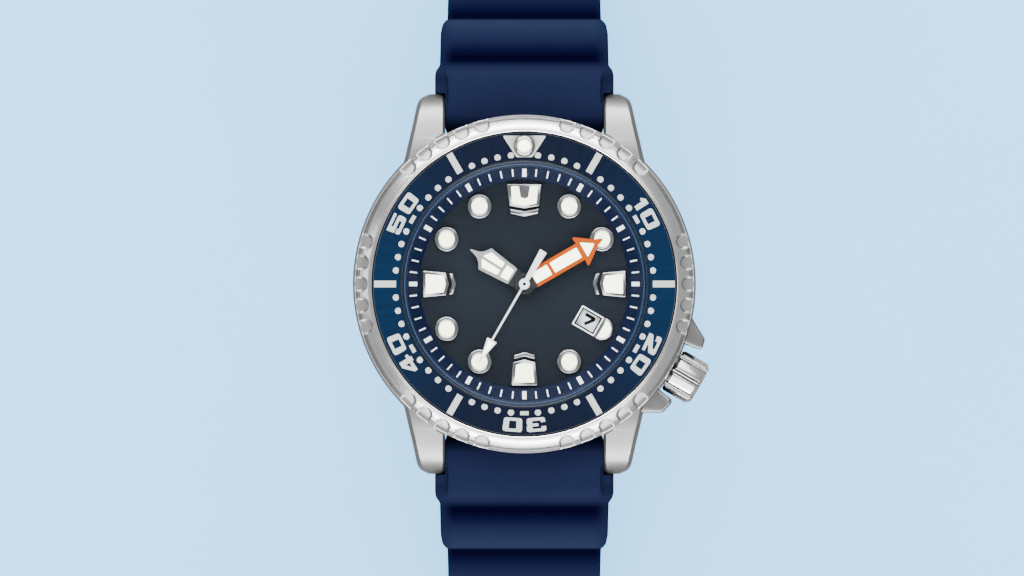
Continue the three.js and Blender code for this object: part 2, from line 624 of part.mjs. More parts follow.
function strapLong() {
  const tail = [[133, STRAP_HALF], [137, 8.3], [139.8, 6.4], [LONG_END - 0.4, 3.6], [LONG_END, 1.2]];
  let strap = strapHalf(LONG_END, () => STRAP_BOTTOM, tail);
  for (let i = 0; i < HOLES; i += 1) {
    const hole = new THREE.Shape();
    const y = FIRST_HOLE + i * HOLE_STEP;
    hole.absarc(-HOLE_SHIFT, y, HOLE_R, Math.PI / 2, Math.PI * 1.5, false);
    hole.absarc(HOLE_SHIFT, y, HOLE_R, -Math.PI / 2, Math.PI / 2, false);
    strap = strap.subtract(solid(slab(hole, -20, 0, 8)));
  }
  return strap;
}

const toSixOClock = (shape) => geometryOf(shape).rotateZ(Math.PI);
add('strap_short', strapShort(), 0x24365a, 0.5, 0.0);
add('strap_long', toSixOClock(strapLong()), 0x24365a, 0.5, 0.0);

// ---- keepers ----
function keeper(fromY, toY) {
  const outer = new THREE.Shape();
  outer.moveTo(-10.4, -15.4);
  outer.lineTo(10.4, -15.4);
  outer.lineTo(10.4, -8.6);
  outer.lineTo(9.6, -7.8);
  outer.lineTo(-9.6, -7.8);
  outer.lineTo(-10.4, -8.6);
  outer.closePath();
  const inner = new THREE.Path();
  inner.moveTo(-9.2, -14.35);
  inner.lineTo(-9.2, -8.8);
  inner.lineTo(9.2, -8.8);
  inner.lineTo(9.2, -14.35);
  inner.closePath();
  outer.holes.push(inner);
  const settings = { depth: toY - fromY, bevelEnabled: false };
  return new THREE.ExtrudeGeometry(outer, settings).rotateX(Math.PI / 2).translate(0, toY, 0);
}
add('keeper_fixed', keeper(83.2, 88.2), 0x22335a, 0.5, 0.0);
add('keeper_free', keeper(71.5, 76.5), 0x22335a, 0.5, 0.0);

// ---- buckle ----
const BUCKLE_BAR_R = 0.8;
const BUCKLE_OUT = 12.2;
const BUCKLE_IN = 9.7;
const BUCKLE_FAR = 104.0;
const CROSS_BAR = 3.0;
const BUCKLE_HALF_THICK = 1.2;

function buckleFrame() {
  const near = SHORT_END - 1.5;
  const shape = polygon([
    [BUCKLE_IN, near], [BUCKLE_OUT, near], [BUCKLE_OUT, 102.2], [10.8, BUCKLE_FAR], [-10.8, BUCKLE_FAR],
    [-BUCKLE_OUT, 102.2], [-BUCKLE_OUT, near], [-BUCKLE_IN, near], [-BUCKLE_IN, 100.2],
    [-9.0, BUCKLE_FAR - CROSS_BAR], [9.0, BUCKLE_FAR - CROSS_BAR], [BUCKLE_IN, 100.2],
  ]);
  const low = BUCKLE_Z - BUCKLE_HALF_THICK;
  const high = BUCKLE_Z + BUCKLE_HALF_THICK;
  const blank = solid(slab(shape, low, high));
  return blank.subtract(solid(barX(BUCKLE_BAR_R + GAP, -11.6, 11.6, SHORT_END, BUCKLE_Z, 32)));
}

function buckleTang() {
  const profile = polygon([
    [SHORT_END - 0.4, BUCKLE_Z + 0.9], [SHORT_END + 1.2, BUCKLE_Z + 0.3], [101, BUCKLE_Z + 1.25],
    [103.4, BUCKLE_Z + 1.3], [103.7, BUCKLE_Z + 1.9], [102.6, BUCKLE_Z + 2.5], [100, BUCKLE_Z + 2.4],
    [SHORT_END + 0.8, BUCKLE_Z + 1.45], [SHORT_END - 0.4, BUCKLE_Z + 1.4],
  ]);
  const prong = solid(sideSlab(profile, -1.1, 1.1));
  const hub = solid(barX(1.45, -1.35, 1.35, SHORT_END, BUCKLE_Z, 32));
  return prong.add(hub).subtract(solid(barX(BUCKLE_BAR_R + GAP, -3, 3, SHORT_END, BUCKLE_Z, 32)));
}

add('buckle_bar', barX(BUCKLE_BAR_R, -11.5, 11.5, SHORT_END, BUCKLE_Z), 0xb4b6b8, 0.3, 1.0);
add('buckle_frame', buckleFrame(), 0xc6c8c9, 0.25, 1.0);
add('buckle_tang', buckleTang(), 0xc6c8c9, 0.25, 1.0);

export default part;
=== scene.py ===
"""A diver's wristwatch lying open on a table. Shapes are written in millimetres and made in metres."""

import math

import bmesh
import bpy
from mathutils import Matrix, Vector
from mathutils.geometry import tessellate_polygon


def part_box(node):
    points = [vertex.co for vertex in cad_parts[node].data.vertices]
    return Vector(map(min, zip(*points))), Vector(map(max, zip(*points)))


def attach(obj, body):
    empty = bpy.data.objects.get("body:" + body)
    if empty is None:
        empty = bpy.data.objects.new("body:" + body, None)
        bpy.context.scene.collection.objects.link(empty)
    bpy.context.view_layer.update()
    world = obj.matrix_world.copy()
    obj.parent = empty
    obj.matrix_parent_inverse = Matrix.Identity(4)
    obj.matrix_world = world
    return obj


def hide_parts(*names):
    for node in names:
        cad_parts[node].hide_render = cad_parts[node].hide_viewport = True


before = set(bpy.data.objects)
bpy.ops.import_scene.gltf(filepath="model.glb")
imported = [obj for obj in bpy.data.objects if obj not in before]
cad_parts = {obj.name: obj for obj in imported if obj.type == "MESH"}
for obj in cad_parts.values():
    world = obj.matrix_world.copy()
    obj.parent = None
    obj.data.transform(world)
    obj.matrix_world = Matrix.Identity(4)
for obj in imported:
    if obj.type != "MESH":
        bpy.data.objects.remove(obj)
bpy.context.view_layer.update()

MM = 0.001
RING_R = 0.018  # radius in metres at which a circular grain's scale is true


def lin(r, g, b):
    """An sRGB colour in 0 to 255 as linear values."""
    out = []
    for v in (r, g, b):
        v /= 255
        out.append(v / 12.92 if v <= 0.04045 else ((v + 0.055) / 1.055) ** 2.4)
    return (*out, 1.0)


# ---------------------------------------------------------------- materials


class Nodes:
    """A small helper that builds one material's node tree."""

    def __init__(self, material):
        self.mat = bpy.data.materials.new(material) if isinstance(material, str) else material
        self.mat.use_nodes = True
        self.tree = self.mat.node_tree
        self.bsdf = self.tree.nodes["Principled BSDF"]

    def add(self, kind, **values):
        node = self.tree.nodes.new(kind)
        for key, value in values.items():
            if key[0].isupper() or key.isdigit():
                node.inputs[int(key) if key.isdigit() else key.replace("_", " ")].default_value = value
            else:
                setattr(node, key, value)
        return node

    def link(self, a, b):
        self.tree.links.new(a, b)

    def feed(self, value, socket):
        """Sets a socket to a plain value, or links an output to it."""
        if isinstance(value, (int, float, tuple)):
            socket.default_value = value
        else:
            self.link(value, socket)

    def math(self, op, a, b=None):
        node = self.add("ShaderNodeMath", operation=op)
        for i, v in enumerate((a, b)):
            if v is not None:
                self.feed(v, node.inputs[i])
        return node.outputs[0]

    def xyz(self):
        """The x, y and z of a point in the object's own frame, in metres."""
        split = self.add("ShaderNodeSeparateXYZ")
        self.link(self.add("ShaderNodeTexCoord").outputs["Object"], split.inputs[0])
        return split.outputs

    def coords(self, layout, along, across):
        """A vector for a noise: layout is plain, x, y, circular or radial; scales are per metre."""
        if layout in ("plain", "x", "y"):
            scales = {"plain": (across,) * 3, "x": (along, across, across), "y": (across, along, across)}
            mapping = self.add("ShaderNodeMapping", Scale=scales[layout])
            self.link(self.add("ShaderNodeTexCoord").outputs["Object"], mapping.inputs["Vector"])
            return mapping.outputs[0]
        x, y, z = self.xyz()
        angle = self.math("ARCTAN2", y, x)
        r = self.math("SQRT", self.math("ADD", self.math("MULTIPLY", x, x), self.math("MULTIPLY", y, y)))
        turn, reach = (along, across) if layout == "circular" else (across, along)
        join = self.add("ShaderNodeCombineXYZ")
        self.link(self.math("MULTIPLY", angle, turn * RING_R), join.inputs[0])
        self.link(self.math("MULTIPLY", r, reach), join.inputs[1])
        if layout == "circular":
            self.link(self.math("MULTIPLY", z, across), join.inputs[2])
        return join.outputs[0]

    def noise(self, vector, detail=4.0, roughness=0.6):
        node = self.add("ShaderNodeTexNoise", Scale=1.0, Detail=detail, Roughness=roughness)
        self.link(vector, node.inputs["Vector"])
        return node.outputs["Fac"]

    def ramp(self, value, low, high, from_low=0.3, from_high=0.7):
        node = self.add("ShaderNodeMapRange")
        self.link(value, node.inputs["Value"])
        for key, v in (("From Min", from_low), ("From Max", from_high), ("To Min", low), ("To Max", high)):
            node.inputs[key].default_value = v
        return node.outputs["Result"]

    def mix(self, factor, a, b, blend="MIX"):
        node = self.add("ShaderNodeMix", data_type="RGBA", blend_type=blend)
        for i, v in ((0, factor), (6, a), (7, b)):
            self.feed(v, node.inputs[i])
        return node.outputs[2]

    def mix_shader(self, factor, a, b):
        """A mix of two shader nodes."""
        node = self.add("ShaderNodeMixShader")
        self.feed(factor, node.inputs[0])
        self.link(a.outputs[0], node.inputs[1])
        self.link(b.outputs[0], node.inputs[2])
        return node

    def show(self, shader):
        """Makes a shader node the material's surface."""
        self.link(shader.outputs[0], self.tree.nodes["Material Output"].inputs["Surface"])

    def bump(self, height, strength, distance):
        node = self.add("ShaderNodeBump", Strength=strength, Distance=distance)
        self.link(height, node.inputs["Height"])
        if self.bsdf.inputs["Normal"].is_linked:
            self.link(self.bsdf.inputs["Normal"].links[0].from_socket, node.inputs["Normal"])
        self.link(node.outputs[0], self.bsdf.inputs["Normal"])


def finish(name, colour, rough, metal=0.0, layout="plain", along=300, across=4000, spread=0.15, vary=0.12,
           bump=0.15, depth=0.02, blotch=400, **sockets):
    """A surface with a grain along one layout and slow blotches of colour, roughness and height."""
    n = Nodes(name)
    grain = n.noise(n.coords(layout, along, across), 5.0)
    slow = n.noise(n.coords("plain", 1, blotch), 3.0)
    dark = tuple(c * (1 - vary) for c in colour[:3]) + (1,)
    light = tuple(min(1, c * (1 + vary)) for c in colour[:3]) + (1,)
    both = n.math("ADD", n.math("MULTIPLY", grain, 0.6), n.math("MULTIPLY", slow, 0.4))
    n.link(n.mix(n.ramp(both, 0, 1), dark, light), n.bsdf.inputs["Base Color"])
    n.link(n.ramp(both, rough * (1 - spread), rough * (1 + spread)), n.bsdf.inputs["Roughness"])
    n.bsdf.inputs["Metallic"].default_value = metal
    for key, value in sockets.items():
        n.bsdf.inputs[key.replace("_", " ")].default_value = value
    n.bump(grain, bump, depth * MM)
    return n.mat


def grey(level):
    """A steel grey, a touch blue."""
    return level, level * 1.005, level * 1.01, 1


M = {}

# name, grey level, roughness, layout, scale along, scale across, spread, colour change, bump, depth in mm
STEELS = {
    "polish": ("polished_steel", 0.5, 0.12, "circular", 60, 6000, 0.3, 0.03, 0.05, 0.004),
    "rim": ("marker_steel", 0.22, 0.16, "plain", 1, 6000, 0.3, 0.05, 0.05, 0.004),
    "satin": ("satin_steel", 0.135, 0.34, "plain", 1, 9000, 0.15, 0.08, 0.3, 0.01),
    "brushed": ("brushed_steel", 0.27, 0.28, "circular", 90, 9000, 0.25, 0.08, 0.25, 0.008),
    "brushed_x": ("lengthwise_brushed_steel", 0.27, 0.28, "x", 500, 9000, 0.25, 0.08, 0.25, 0.008),
    "brushed_y": ("crosswise_brushed_steel", 0.27, 0.28, "y", 500, 9000, 0.25, 0.08, 0.25, 0.008),
    # the pockets and the step get a rougher, darker steel; its darkness is painted shade in these hollows
    "pocket": ("pocket_steel", 0.26, 0.3, "plain", 1, 8000, 0.2, 0.1, 0.3, 0.01),
    "bezel": ("bezel_steel", 0.4, 0.22, "circular", 60, 7000, 0.25, 0.05, 0.12, 0.006),
    "hand": ("hand_steel", 0.72, 0.22, "plain", 1, 5000, 0.2, 0.04, 0.05, 0.003),
    "crown": ("crown_steel", 0.36, 0.2, "plain", 1, 5000, 0.2, 0.06, 0.3, 0.006),
}
for key, (name, level, rough, *grain) in STEELS.items():
    M[key] = finish(name, grey(level), rough, 1.0, *grain)

# name, colour, roughness, metal, then the grain's values in the same order
PAINTS = {
    "lume": ("luminous_paint", (0.94, 0.95, 0.82, 1), 0.6, 0.0, "plain", 1, 9000, 0.1, 0.03, 0.35, 0.012),
    "second": ("second_hand_paint", (0.62, 0.63, 0.63, 1), 0.4, 0.3, "plain", 1, 9000, 0.1, 0.05, 0.3, 0.006),
    "white": ("white_print", (0.75, 0.77, 0.78, 1), 0.55, 0.0, "plain", 1, 9000, 0.1, 0.03, 0.2, 0.006),
    "silver": ("silver_print", (0.265, 0.275, 0.275, 1), 0.4, 0.0, "plain", 1, 9000, 0.1, 0.06, 0.2, 0.006),
    "black": ("black_print", (0.003, 0.003, 0.0035, 1), 0.5, 0.0, "plain", 1, 9000, 0.1, 0.2, 0.2, 0.006),
    "orange": ("orange_paint", (0.26, 0.04, 0.0006, 1), 0.42, 0.0, "plain", 1, 8000, 0.1, 0.05, 0.15, 0.005),
    "hub": ("hand_hub_black", (0.012, 0.0125, 0.0135, 1), 0.5, 0.0, "plain", 1, 9000, 0.1, 0.2, 0.2, 0.006),
    "gasket": ("black_rubber", (0.006, 0.006, 0.007, 1), 0.6, 0.0, "plain", 1, 6000, 0.1, 0.2, 0.3, 0.01),
    "plastic": ("white_moulding", lin(200, 200, 192), 0.55, 0.0, "plain", 1, 5000, 0.1, 0.05, 0.2, 0.01),
    "plate": ("plated_plate", lin(208, 200, 168), 0.3, 1.0, "circular", 60, 7000, 0.2, 0.06, 0.2, 0.006),
    "brass": ("wheel_brass", lin(214, 184, 112), 0.28, 1.0, "circular", 60, 7000, 0.2, 0.08, 0.2, 0.006),
    "board": ("green_board", (0.008, 0.04, 0.016, 1), 0.4, 0.0, "plain", 1, 3000, 0.1, 0.15, 0.2, 0.01),
    "copper": ("copper_winding", lin(190, 104, 52), 0.3, 0.9, "y", 300, 20000, 0.2, 0.15, 0.8, 0.05),
    "cell_film": ("light_cell", (0.004, 0.004, 0.007, 1), 0.3, 0.2, "x", 200, 6000, 0.2, 0.25, 0.1, 0.005),
    "chapter": ("chapter_paint", (0.0016, 0.0042, 0.0165, 1), 0.45, 0.0, "circular", 60, 5000, 0.15, 0.1, 0.1,
                0.004),
}
PAINT_GLOSS = {"black": 0.1, "orange": 0.05, "hub": 0.1, "gasket": 0.2, "chapter": 0.1}
# painted light: the luminous paint is made to glow, so that it shows brighter than the lamps alone make it
LUME_PAINTED_GLOW = {"Emission_Color": (1.0, 0.98, 0.45, 1), "Emission_Strength": 2.0}
for key, values in PAINTS.items():
    sockets = {"Specular_IOR_Level": PAINT_GLOSS[key]} if key in PAINT_GLOSS else {}
    M[key] = finish(*values, **(LUME_PAINTED_GLOW if key == "lume" else sockets))

# painted shade and light of the strap's ribs over its length, by millimetres from the watch's middle: dark in
# the valley past each rib's edge, light just before the edge
STRAP_FROM, STRAP_TO = 20, 52
STRAP_PAINTED_SHADE = [
    (20, 0.7), (22, 0.9), (27.3, 1.0), (28.1, 0.8), (28.8, 0.27), (29.4, 0.23), (30.3, 0.48), (31.8, 0.9),
    (33.9, 1.2), (34.2, 1.1), (34.35, 0.35), (34.8, 0.22), (35.8, 0.5), (38, 0.95), (40.3, 1.2), (40.7, 0.4),
    (41.4, 0.2), (44, 0.85), (46.6, 1.1), (47.2, 0.6), (49, 1.0),
]
STRAP_PAINTED_FULL = 1.25  # the level drawn as white
# the one painted level near the strap's long edges, where the ribs' painted shade and light fade out
STRAP_EDGE_PAINTED_SHADE = (0.5, 0.47, 0.66, 1)
STRAP_COLOUR = (0.0074, 0.0116, 0.0262, 1)


def strap_material():
    """Dark moulded rubber with painted shade and light along its ribs, the painted shade evener towards its
    two long edges.
    """
    strap = finish("moulded_strap", STRAP_COLOUR, 0.55, 0.0, "plain", 1, 6500, 0.1, 0.07, 0.3, 0.01,
                   Specular_IOR_Level=0.0)
    n = Nodes(strap)
    x, y, _ = n.xyz()
    painted_rib_shade = n.add("ShaderNodeValToRGB")
    ramp = painted_rib_shade.color_ramp
    while len(ramp.elements) < len(STRAP_PAINTED_SHADE):
        ramp.elements.new(0.5)
    for element, (at, level) in zip(ramp.elements, STRAP_PAINTED_SHADE):
        element.position = (at - STRAP_FROM) / (STRAP_TO - STRAP_FROM)
        share = level / STRAP_PAINTED_FULL
        element.color = (share**1.7, share**2.0, share, 1)
    # painted shade and light of the ribs, read by distance from the watch's middle
    n.link(n.ramp(n.math("ABSOLUTE", y), 0, 1, STRAP_FROM * MM, STRAP_TO * MM), painted_rib_shade.inputs[0])
    # towards the long edges the ribs' painted shade and light give way to one even painted level
    edge = n.ramp(n.math("ABSOLUTE", x), 0, 0.75, 0.0092, 0.0106)
    base = n.bsdf.inputs["Base Color"]
    painted_shade = n.mix(edge, painted_rib_shade.outputs[0], STRAP_EDGE_PAINTED_SHADE)
    n.link(n.mix(1.0, base.links[0].from_socket, painted_shade, "MULTIPLY"), base)
    return strap


M["strap"] = strap_material()


def sunburst(name, dark, light, painted_reflection_dark, painted_reflection_light, rough, fine, bump, gloss):
    """Lacquer over lines that run out from the centre, with a painted reflection that makes it paler towards
    three and nine o'clock.
    """
    n = Nodes(name)
    lines = n.noise(n.coords("radial", 20, fine), 3.0)
    x, y, _ = n.xyz()
    xx = n.math("MULTIPLY", x, x)
    yy = n.math("MULTIPLY", y, y)
    # painted reflection: a mask that grows towards three and nine o'clock, where the lines would reflect the
    # lamps
    side = n.math("POWER", n.math("DIVIDE", xx, n.math("ADD", xx, n.math("ADD", yy, 1e-8))), 1.6)
    grain = n.ramp(lines, 0, 1)
    colour = n.mix(side, n.mix(grain, dark, light), n.mix(grain, painted_reflection_dark, painted_reflection_light))
    n.link(colour, n.bsdf.inputs["Base Color"])
    n.link(n.ramp(lines, rough * 0.85, rough * 1.15), n.bsdf.inputs["Roughness"])
    n.bsdf.inputs["Specular IOR Level"].default_value = gloss
    n.bsdf.inputs["Metallic"].default_value = 0.15
    n.bump(lines, bump, 0.004 * MM)
    return n.mat


# each colour set: the grain's dark and light, then the paler painted-reflection dark and light towards three
# and nine o'clock
M["insert"] = sunburst("blue_insert", (0.0013, 0.0026, 0.0080, 1), (0.0019, 0.0036, 0.0102, 1),
                       (0.0006, 0.0062, 0.0190, 1), (0.0010, 0.0084, 0.0250, 1), 0.4, 9000, 0.2, 0.04)
M["dial"] = sunburst("dial_lacquer", (0.0052, 0.0070, 0.0098, 1), (0.0066, 0.0088, 0.0124, 1),
                     (0.0056, 0.0076, 0.0108, 1), (0.0070, 0.0094, 0.0132, 1), 0.5, 9000, 0.15, 0.06)


def clear_material(name, tint, gloss):
    """Clear glass for thin looks: what is behind shows straight, with a Fresnel gloss on top."""
    n = Nodes(name)
    n.tree.nodes.remove(n.bsdf)
    clear = n.add("ShaderNodeBsdfTransparent", Color=tint)
    shine = n.add("ShaderNodeBsdfGlossy")
    fresnel = n.add("ShaderNodeFresnel", IOR=gloss)
    speck = n.noise(n.coords("plain", 1, 900), 2.0)
    n.link(n.ramp(speck, 0.012, 0.03), shine.inputs["Roughness"])
    n.show(n.mix_shader(fresnel.outputs[0], clear, shine))
    return n.mat


M["crystal"] = clear_material("crystal_glass", (0.98, 0.99, 0.995, 1), 1.06)


def edge_glass(name, amount):
    """The polished slope round the crystal: tinted, a little shiny, and with a pale diffuse blue that is a
    painted reflection of the light the slope catches.
    """
    n = Nodes(name)
    n.tree.nodes.remove(n.bsdf)
    clear = n.add("ShaderNodeBsdfTransparent", Color=(0.8, 0.86, 0.93, 1))
    painted_bevel_light = n.add("ShaderNodeBsdfDiffuse", Color=(0.10, 0.19, 0.36, 1))
    shine = n.add("ShaderNodeBsdfGlossy", Roughness=0.35)
    speck = n.noise(n.coords("plain", 1, 2600), 2.0)
    body = n.mix_shader(n.ramp(speck, amount * 0.92, amount * 1.08), clear, painted_bevel_light)
    n.show(n.mix_shader(0.004, body, shine))
    return n.mat


# the slope's faint and the line's stronger pale blue are painted reflection
M["crystal_edge"] = edge_glass("crystal_edge_glass", 0.018)
M["crystal_line"] = edge_glass("crystal_polished_line", 0.16)

# ---------------------------------------------------------------- mesh helpers


def make(name, verts, faces, materials, face_mats=None, sharp=35, body=None, replaces=(), slot=None):
    """A mesh piece from millimetre points, smooth but for edges sharper than the angle."""
    mesh = bpy.data.meshes.new(name)
    mesh.from_pydata([tuple(c * MM for c in v) for v in verts], [], faces)
    for m in materials if isinstance(materials, (list, tuple)) else [materials]:
        mesh.materials.append(m)
    if face_mats:
        mesh.polygons.foreach_set("material_index", face_mats)
    bm = bmesh.new()
    bm.from_mesh(mesh)
    bmesh.ops.recalc_face_normals(bm, faces=bm.faces)
    bm.to_mesh(mesh)
    bm.free()
    obj = bpy.data.objects.new(name, mesh)
    bpy.context.scene.collection.objects.link(obj)
    shade(obj, sharp)
    if body:
        place(obj, body, replaces, slot)
    return obj


def shade(obj, sharp=35):
    for p in obj.data.polygons:
        p.use_smooth = True
    obj.data.set_sharp_from_angle(angle=math.radians(sharp))


def place(obj, body, replaces=(), slot=None):
    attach(obj, body)
    if replaces:
        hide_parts(*replaces)


def at_clock(clock, r):
    a = math.radians(clock)
    return r * math.sin(a), r * math.cos(a)


def spin_point(x, y, clock):
    """A point drawn for twelve o'clock, turned to a clock angle."""
    a = math.radians(clock)
    return x * math.cos(a) + y * math.sin(a), -x * math.sin(a) + y * math.cos(a)


def spun(shape, clock):
    """A solid drawn for twelve o'clock, turned to a clock angle."""
    verts, faces = shape
    return [(*spin_point(x, y, clock), z) for x, y, z in verts], faces


def disc_outline(r, n=48, centre=(0, 0)):
    angles = [2 * math.pi * i / n for i in range(n)]
    return [(centre[0] + r * math.cos(a), centre[1] + r * math.sin(a)) for a in angles]


def revolve(profile, n=240, centre=(0, 0)):
    """Vertices and faces of a closed profile of (r, z) turned about Z; points on the axis become one."""
    verts, faces, rows = [], [], []
    for r, z in profile:
        ring = disc_outline(r, n, centre) if r else [centre]
        rows.append([len(verts) + (i if r else 0) for i in range(n)])
        verts += [(x, y, z) for x, y in ring]
    m = len(profile)
    for j in range(m):
        a, b = rows[j], rows[(j + 1) % m]
        if a[0] == a[1] and b[0] == b[1]:
            continue
        for i in range(n):
            k = (i + 1) % n
            faces.append(tuple(dict.fromkeys([a[i], a[k], b[k], b[i]])))
    return verts, faces


def loft(sections, closed=False):
    """Sections of equal length joined in order, with flat ends unless the last is joined to the first."""
    n, count = len(sections[0]), len(sections)
    verts = [v for s in sections for v in s]
    faces = []
    for j in range(count if closed else count - 1):
        m = (j + 1) % count
        for i in range(n):
            k = (i + 1) % n
            faces.append((j * n + i, j * n + k, m * n + k, m * n + i))
    if not closed:
        faces.append(tuple(range(n)))
        faces.append(tuple(len(verts) - n + i for i in range(n)))
    return verts, faces


def bar_x(r, x0, x1, y, z, n=40):
    """A round bar along X."""
    return loft([[(x, a, b) for a, b in disc_outline(r, n, (y, z))] for x in (x0, x1)])


def slope_bar(half, radii, height, low, high):
    """A radial bar lying on a sloping ring, whose height at a radius is given by a function."""
    corners = ((-half, low), (half, low), (half, high), (-half, high))
    return loft([[(x, r, height(r) + h) for x, h in corners] for r in radii])


def box_outline(wide, tall, centre):
    w, t = wide / 2, tall / 2
    return [(-w, centre - t), (w, centre - t), (w, centre + t), (-w, centre + t)]


def both_sides(right):
    """An outline that is the same left and right of the Y axis, from its right side read upwards."""
    left = [(-x, y) for x, y in reversed(right)]
    return left[-1:] + right + left[:-1]


def prism(outline, low, high, bevel=0.0, segments=2, both=False):
    """A flat outline raised from low to high, with its top edges rounded."""
    n = len(outline)
    verts = [(x, y, low) for x, y in outline] + [(x, y, high) for x, y in outline]
    faces = [tuple(range(n))[::-1], tuple(range(n, 2 * n))]
    faces += [(i, (i + 1) % n, n + (i + 1) % n, n + i) for i in range(n)]
    if not bevel:
        return verts, faces
    mesh = bpy.data.meshes.new("prism")
    mesh.from_pydata(verts, [], faces)
    bm = bmesh.new()
    bm.from_mesh(mesh)
    bmesh.ops.recalc_face_normals(bm, faces=bm.faces)
    levels = (low, high) if both else (high,)
    edges = [e for e in bm.edges if any(all(abs(v.co.z - z) < 1e-6 for v in e.verts) for z in levels)]
    bmesh.ops.bevel(bm, geom=edges, offset=bevel, segments=segments, affect="EDGES", profile=0.5)
    bm.verts.index_update()
    out = [tuple(v.co) for v in bm.verts], [tuple(v.index for v in f.verts) for f in bm.faces]
    bm.free()
    bpy.data.meshes.remove(mesh)
    return out


class Group:
    """Several shapes gathered into one mesh, each with its own material."""

    def __init__(self):
        self.verts, self.faces, self.mats, self.slots = [], [], [], []

    def add(self, shape, material, clock=None):
        verts, faces = shape if clock is None else spun(shape, clock)
        start = len(self.verts)
        self.verts += verts
        if material not in self.slots:
            self.slots.append(material)
        for f in faces:
            self.faces.append(tuple(start + i for i in f))
            self.mats.append(self.slots.index(material))

    def build(self, name, body, replaces=(), slot=None, sharp=35):
        return make(name, self.verts, self.faces, self.slots, self.mats, sharp, body, replaces, slot)


def rounded(points, radius, steps=6):
    """A closed outline with its corners rounded. radius may be one number or one for each corner."""
    out = []
    n = len(points)
    for i, p in enumerate(points):
        rad = radius[i] if isinstance(radius, (list, tuple)) else radius
        p = Vector(p)
        a = Vector(points[i - 1]) - p
        b = Vector(points[(i + 1) % n]) - p
        if rad <= 0:
            out.append(tuple(p))
            continue
        half = a.angle(b) / 2
        cut = min(rad / math.tan(half), a.length * 0.49, b.length * 0.49)
        pa, pb = p + a.normalized() * cut, p + b.normalized() * cut
        for k in range(steps + 1):
            t = k / steps
            out.append(tuple((1 - t) ** 2 * pa + 2 * t * (1 - t) * p + t**2 * pb))
    return out


def inset(outline, distance):
    """An outline moved inwards by a distance, for convex and gently bent outlines drawn either way."""
    n = len(outline)
    area = sum(outline[i - 1][0] * outline[i][1] - outline[i][0] * outline[i - 1][1] for i in range(n))
    sign = 1 if area > 0 else -1
    out = []
    for i in range(n):
        p = Vector(outline[i])
        a = (p - Vector(outline[i - 1])).normalized()
        b = (Vector(outline[(i + 1) % n]) - p).normalized()
        na, nb = Vector((-a.y, a.x)) * sign, Vector((-b.y, b.x)) * sign
        m = na + nb
        if m.length < 1e-6:
            m = na
        m.normalize()
        out.append(tuple(p + m * distance / max(0.35, m.dot(na))))
    return out


def lerp_table(table, x):
    """Linear steps through (x, value) pairs."""
    if x <= table[0][0]:
        return table[0][1]
    for (x0, y0), (x1, y1) in zip(table, table[1:]):
        if x <= x1:
            return y0 + (y1 - y0) * (x - x0) / (x1 - x0)
    return table[-1][1]


def ease(t):
    """Zero to one with soft ends."""
    t = min(1, max(0, t))
    return t * t * (3 - 2 * t)


def smooth_table(table, x):
    """Eased steps through (x, value) pairs."""
    if x <= table[0][0]:
        return table[0][1]
    for (x0, y0), (x1, y1) in zip(table, table[1:]):
        if x <= x1:
            return y0 + (y1 - y0) * ease((x - x0) / (x1 - x0))
    return table[-1][1]


def cut(obj, cutter, operation="DIFFERENCE"):
    """Applies one exact boolean and removes the cutter."""
    mod = obj.modifiers.new("cut", "BOOLEAN")
    mod.operation = operation
    mod.solver = "EXACT"
    mod.object = cutter
    depsgraph = bpy.context.evaluated_depsgraph_get()
    mesh = bpy.data.meshes.new_from_object(obj.evaluated_get(depsgraph))
    obj.modifiers.remove(mod)
    old = obj.data
    obj.data = mesh
    bpy.data.meshes.remove(old)
    tool = cutter.data
    bpy.data.objects.remove(cutter)
    bpy.data.meshes.remove(tool)


def soften(obj, width, segments=2, angle=32):
    """Rounds the sharp edges of a piece by a few hundredths of a millimetre."""
    mod = obj.modifiers.new("round", "BEVEL")
    mod.width = width * MM
    mod.segments = segments
    mod.limit_method = "ANGLE"
    mod.angle_limit = math.radians(angle)
    mod.harden_normals = True
    mod.miter_outer = "MITER_ARC"


# ---------------------------------------------------------------- case and lugs

BAR_Y, BAR_Z = 21.5, 3.3
STEM_CLOCK, STEM_Z = 120, 4.9

case_profile = [
    (16.15, 1.25), (19.3, 1.25), (21.3, 1.95), (21.8, 2.4), (22.0, 3.0), (22.0, 7.2), (21.93, 7.45),
    (21.5, 7.85), (21.2, 8.0), (17.0, 8.0), (17.0, 10.2), (16.1, 10.2), (16.1, 8.7), (15.75, 8.7),
    (15.75, 3.0), (16.15, 3.0),
]
case = make("case_body", *revolve(case_profile, 256), [M["satin"], M["polish"]])

# the lugs' outer and inner sides, upper and lower edges, by distance from the watch's middle
LUG_ROOT, LUG_TIP = 14.2, 24.45
LUG_OUT = [(LUG_ROOT, 15.9), (16.3, 15.3), (18.5, 14.8), (20.2, 14.4), (23.0, 13.82), (23.6, 13.6),
           (24.0, 13.2), (LUG_TIP, 12.3)]
LUG_IN = [(LUG_ROOT, 10.2), (23.4, 10.2), (24.0, 10.3), (24.3, 10.55), (LUG_TIP, 11.0)]
LUG_TOP = [(LUG_ROOT, 7.95), (17, 7.8), (19.0, 7.45), (20.6, 6.95), (22.0, 6.3), (23.2, 5.4), (23.9, 4.65),
           (LUG_TIP, 3.9)]
LUG_LOW = [(LUG_ROOT, 1.6), (19, 1.3), (22.2, 1.1), (23.4, 1.25), (24.1, 1.9), (LUG_TIP, 2.6)]


def eased_table(table, at):
    """A table read through a short sliding average, so that its corners come out as soft bends."""
    width = max(0.0, min(1.6, (LUG_TIP - at) * 0.6))
    return sum(lerp_table(table, at + width * (k / 6 - 1)) for k in range(13)) / 13


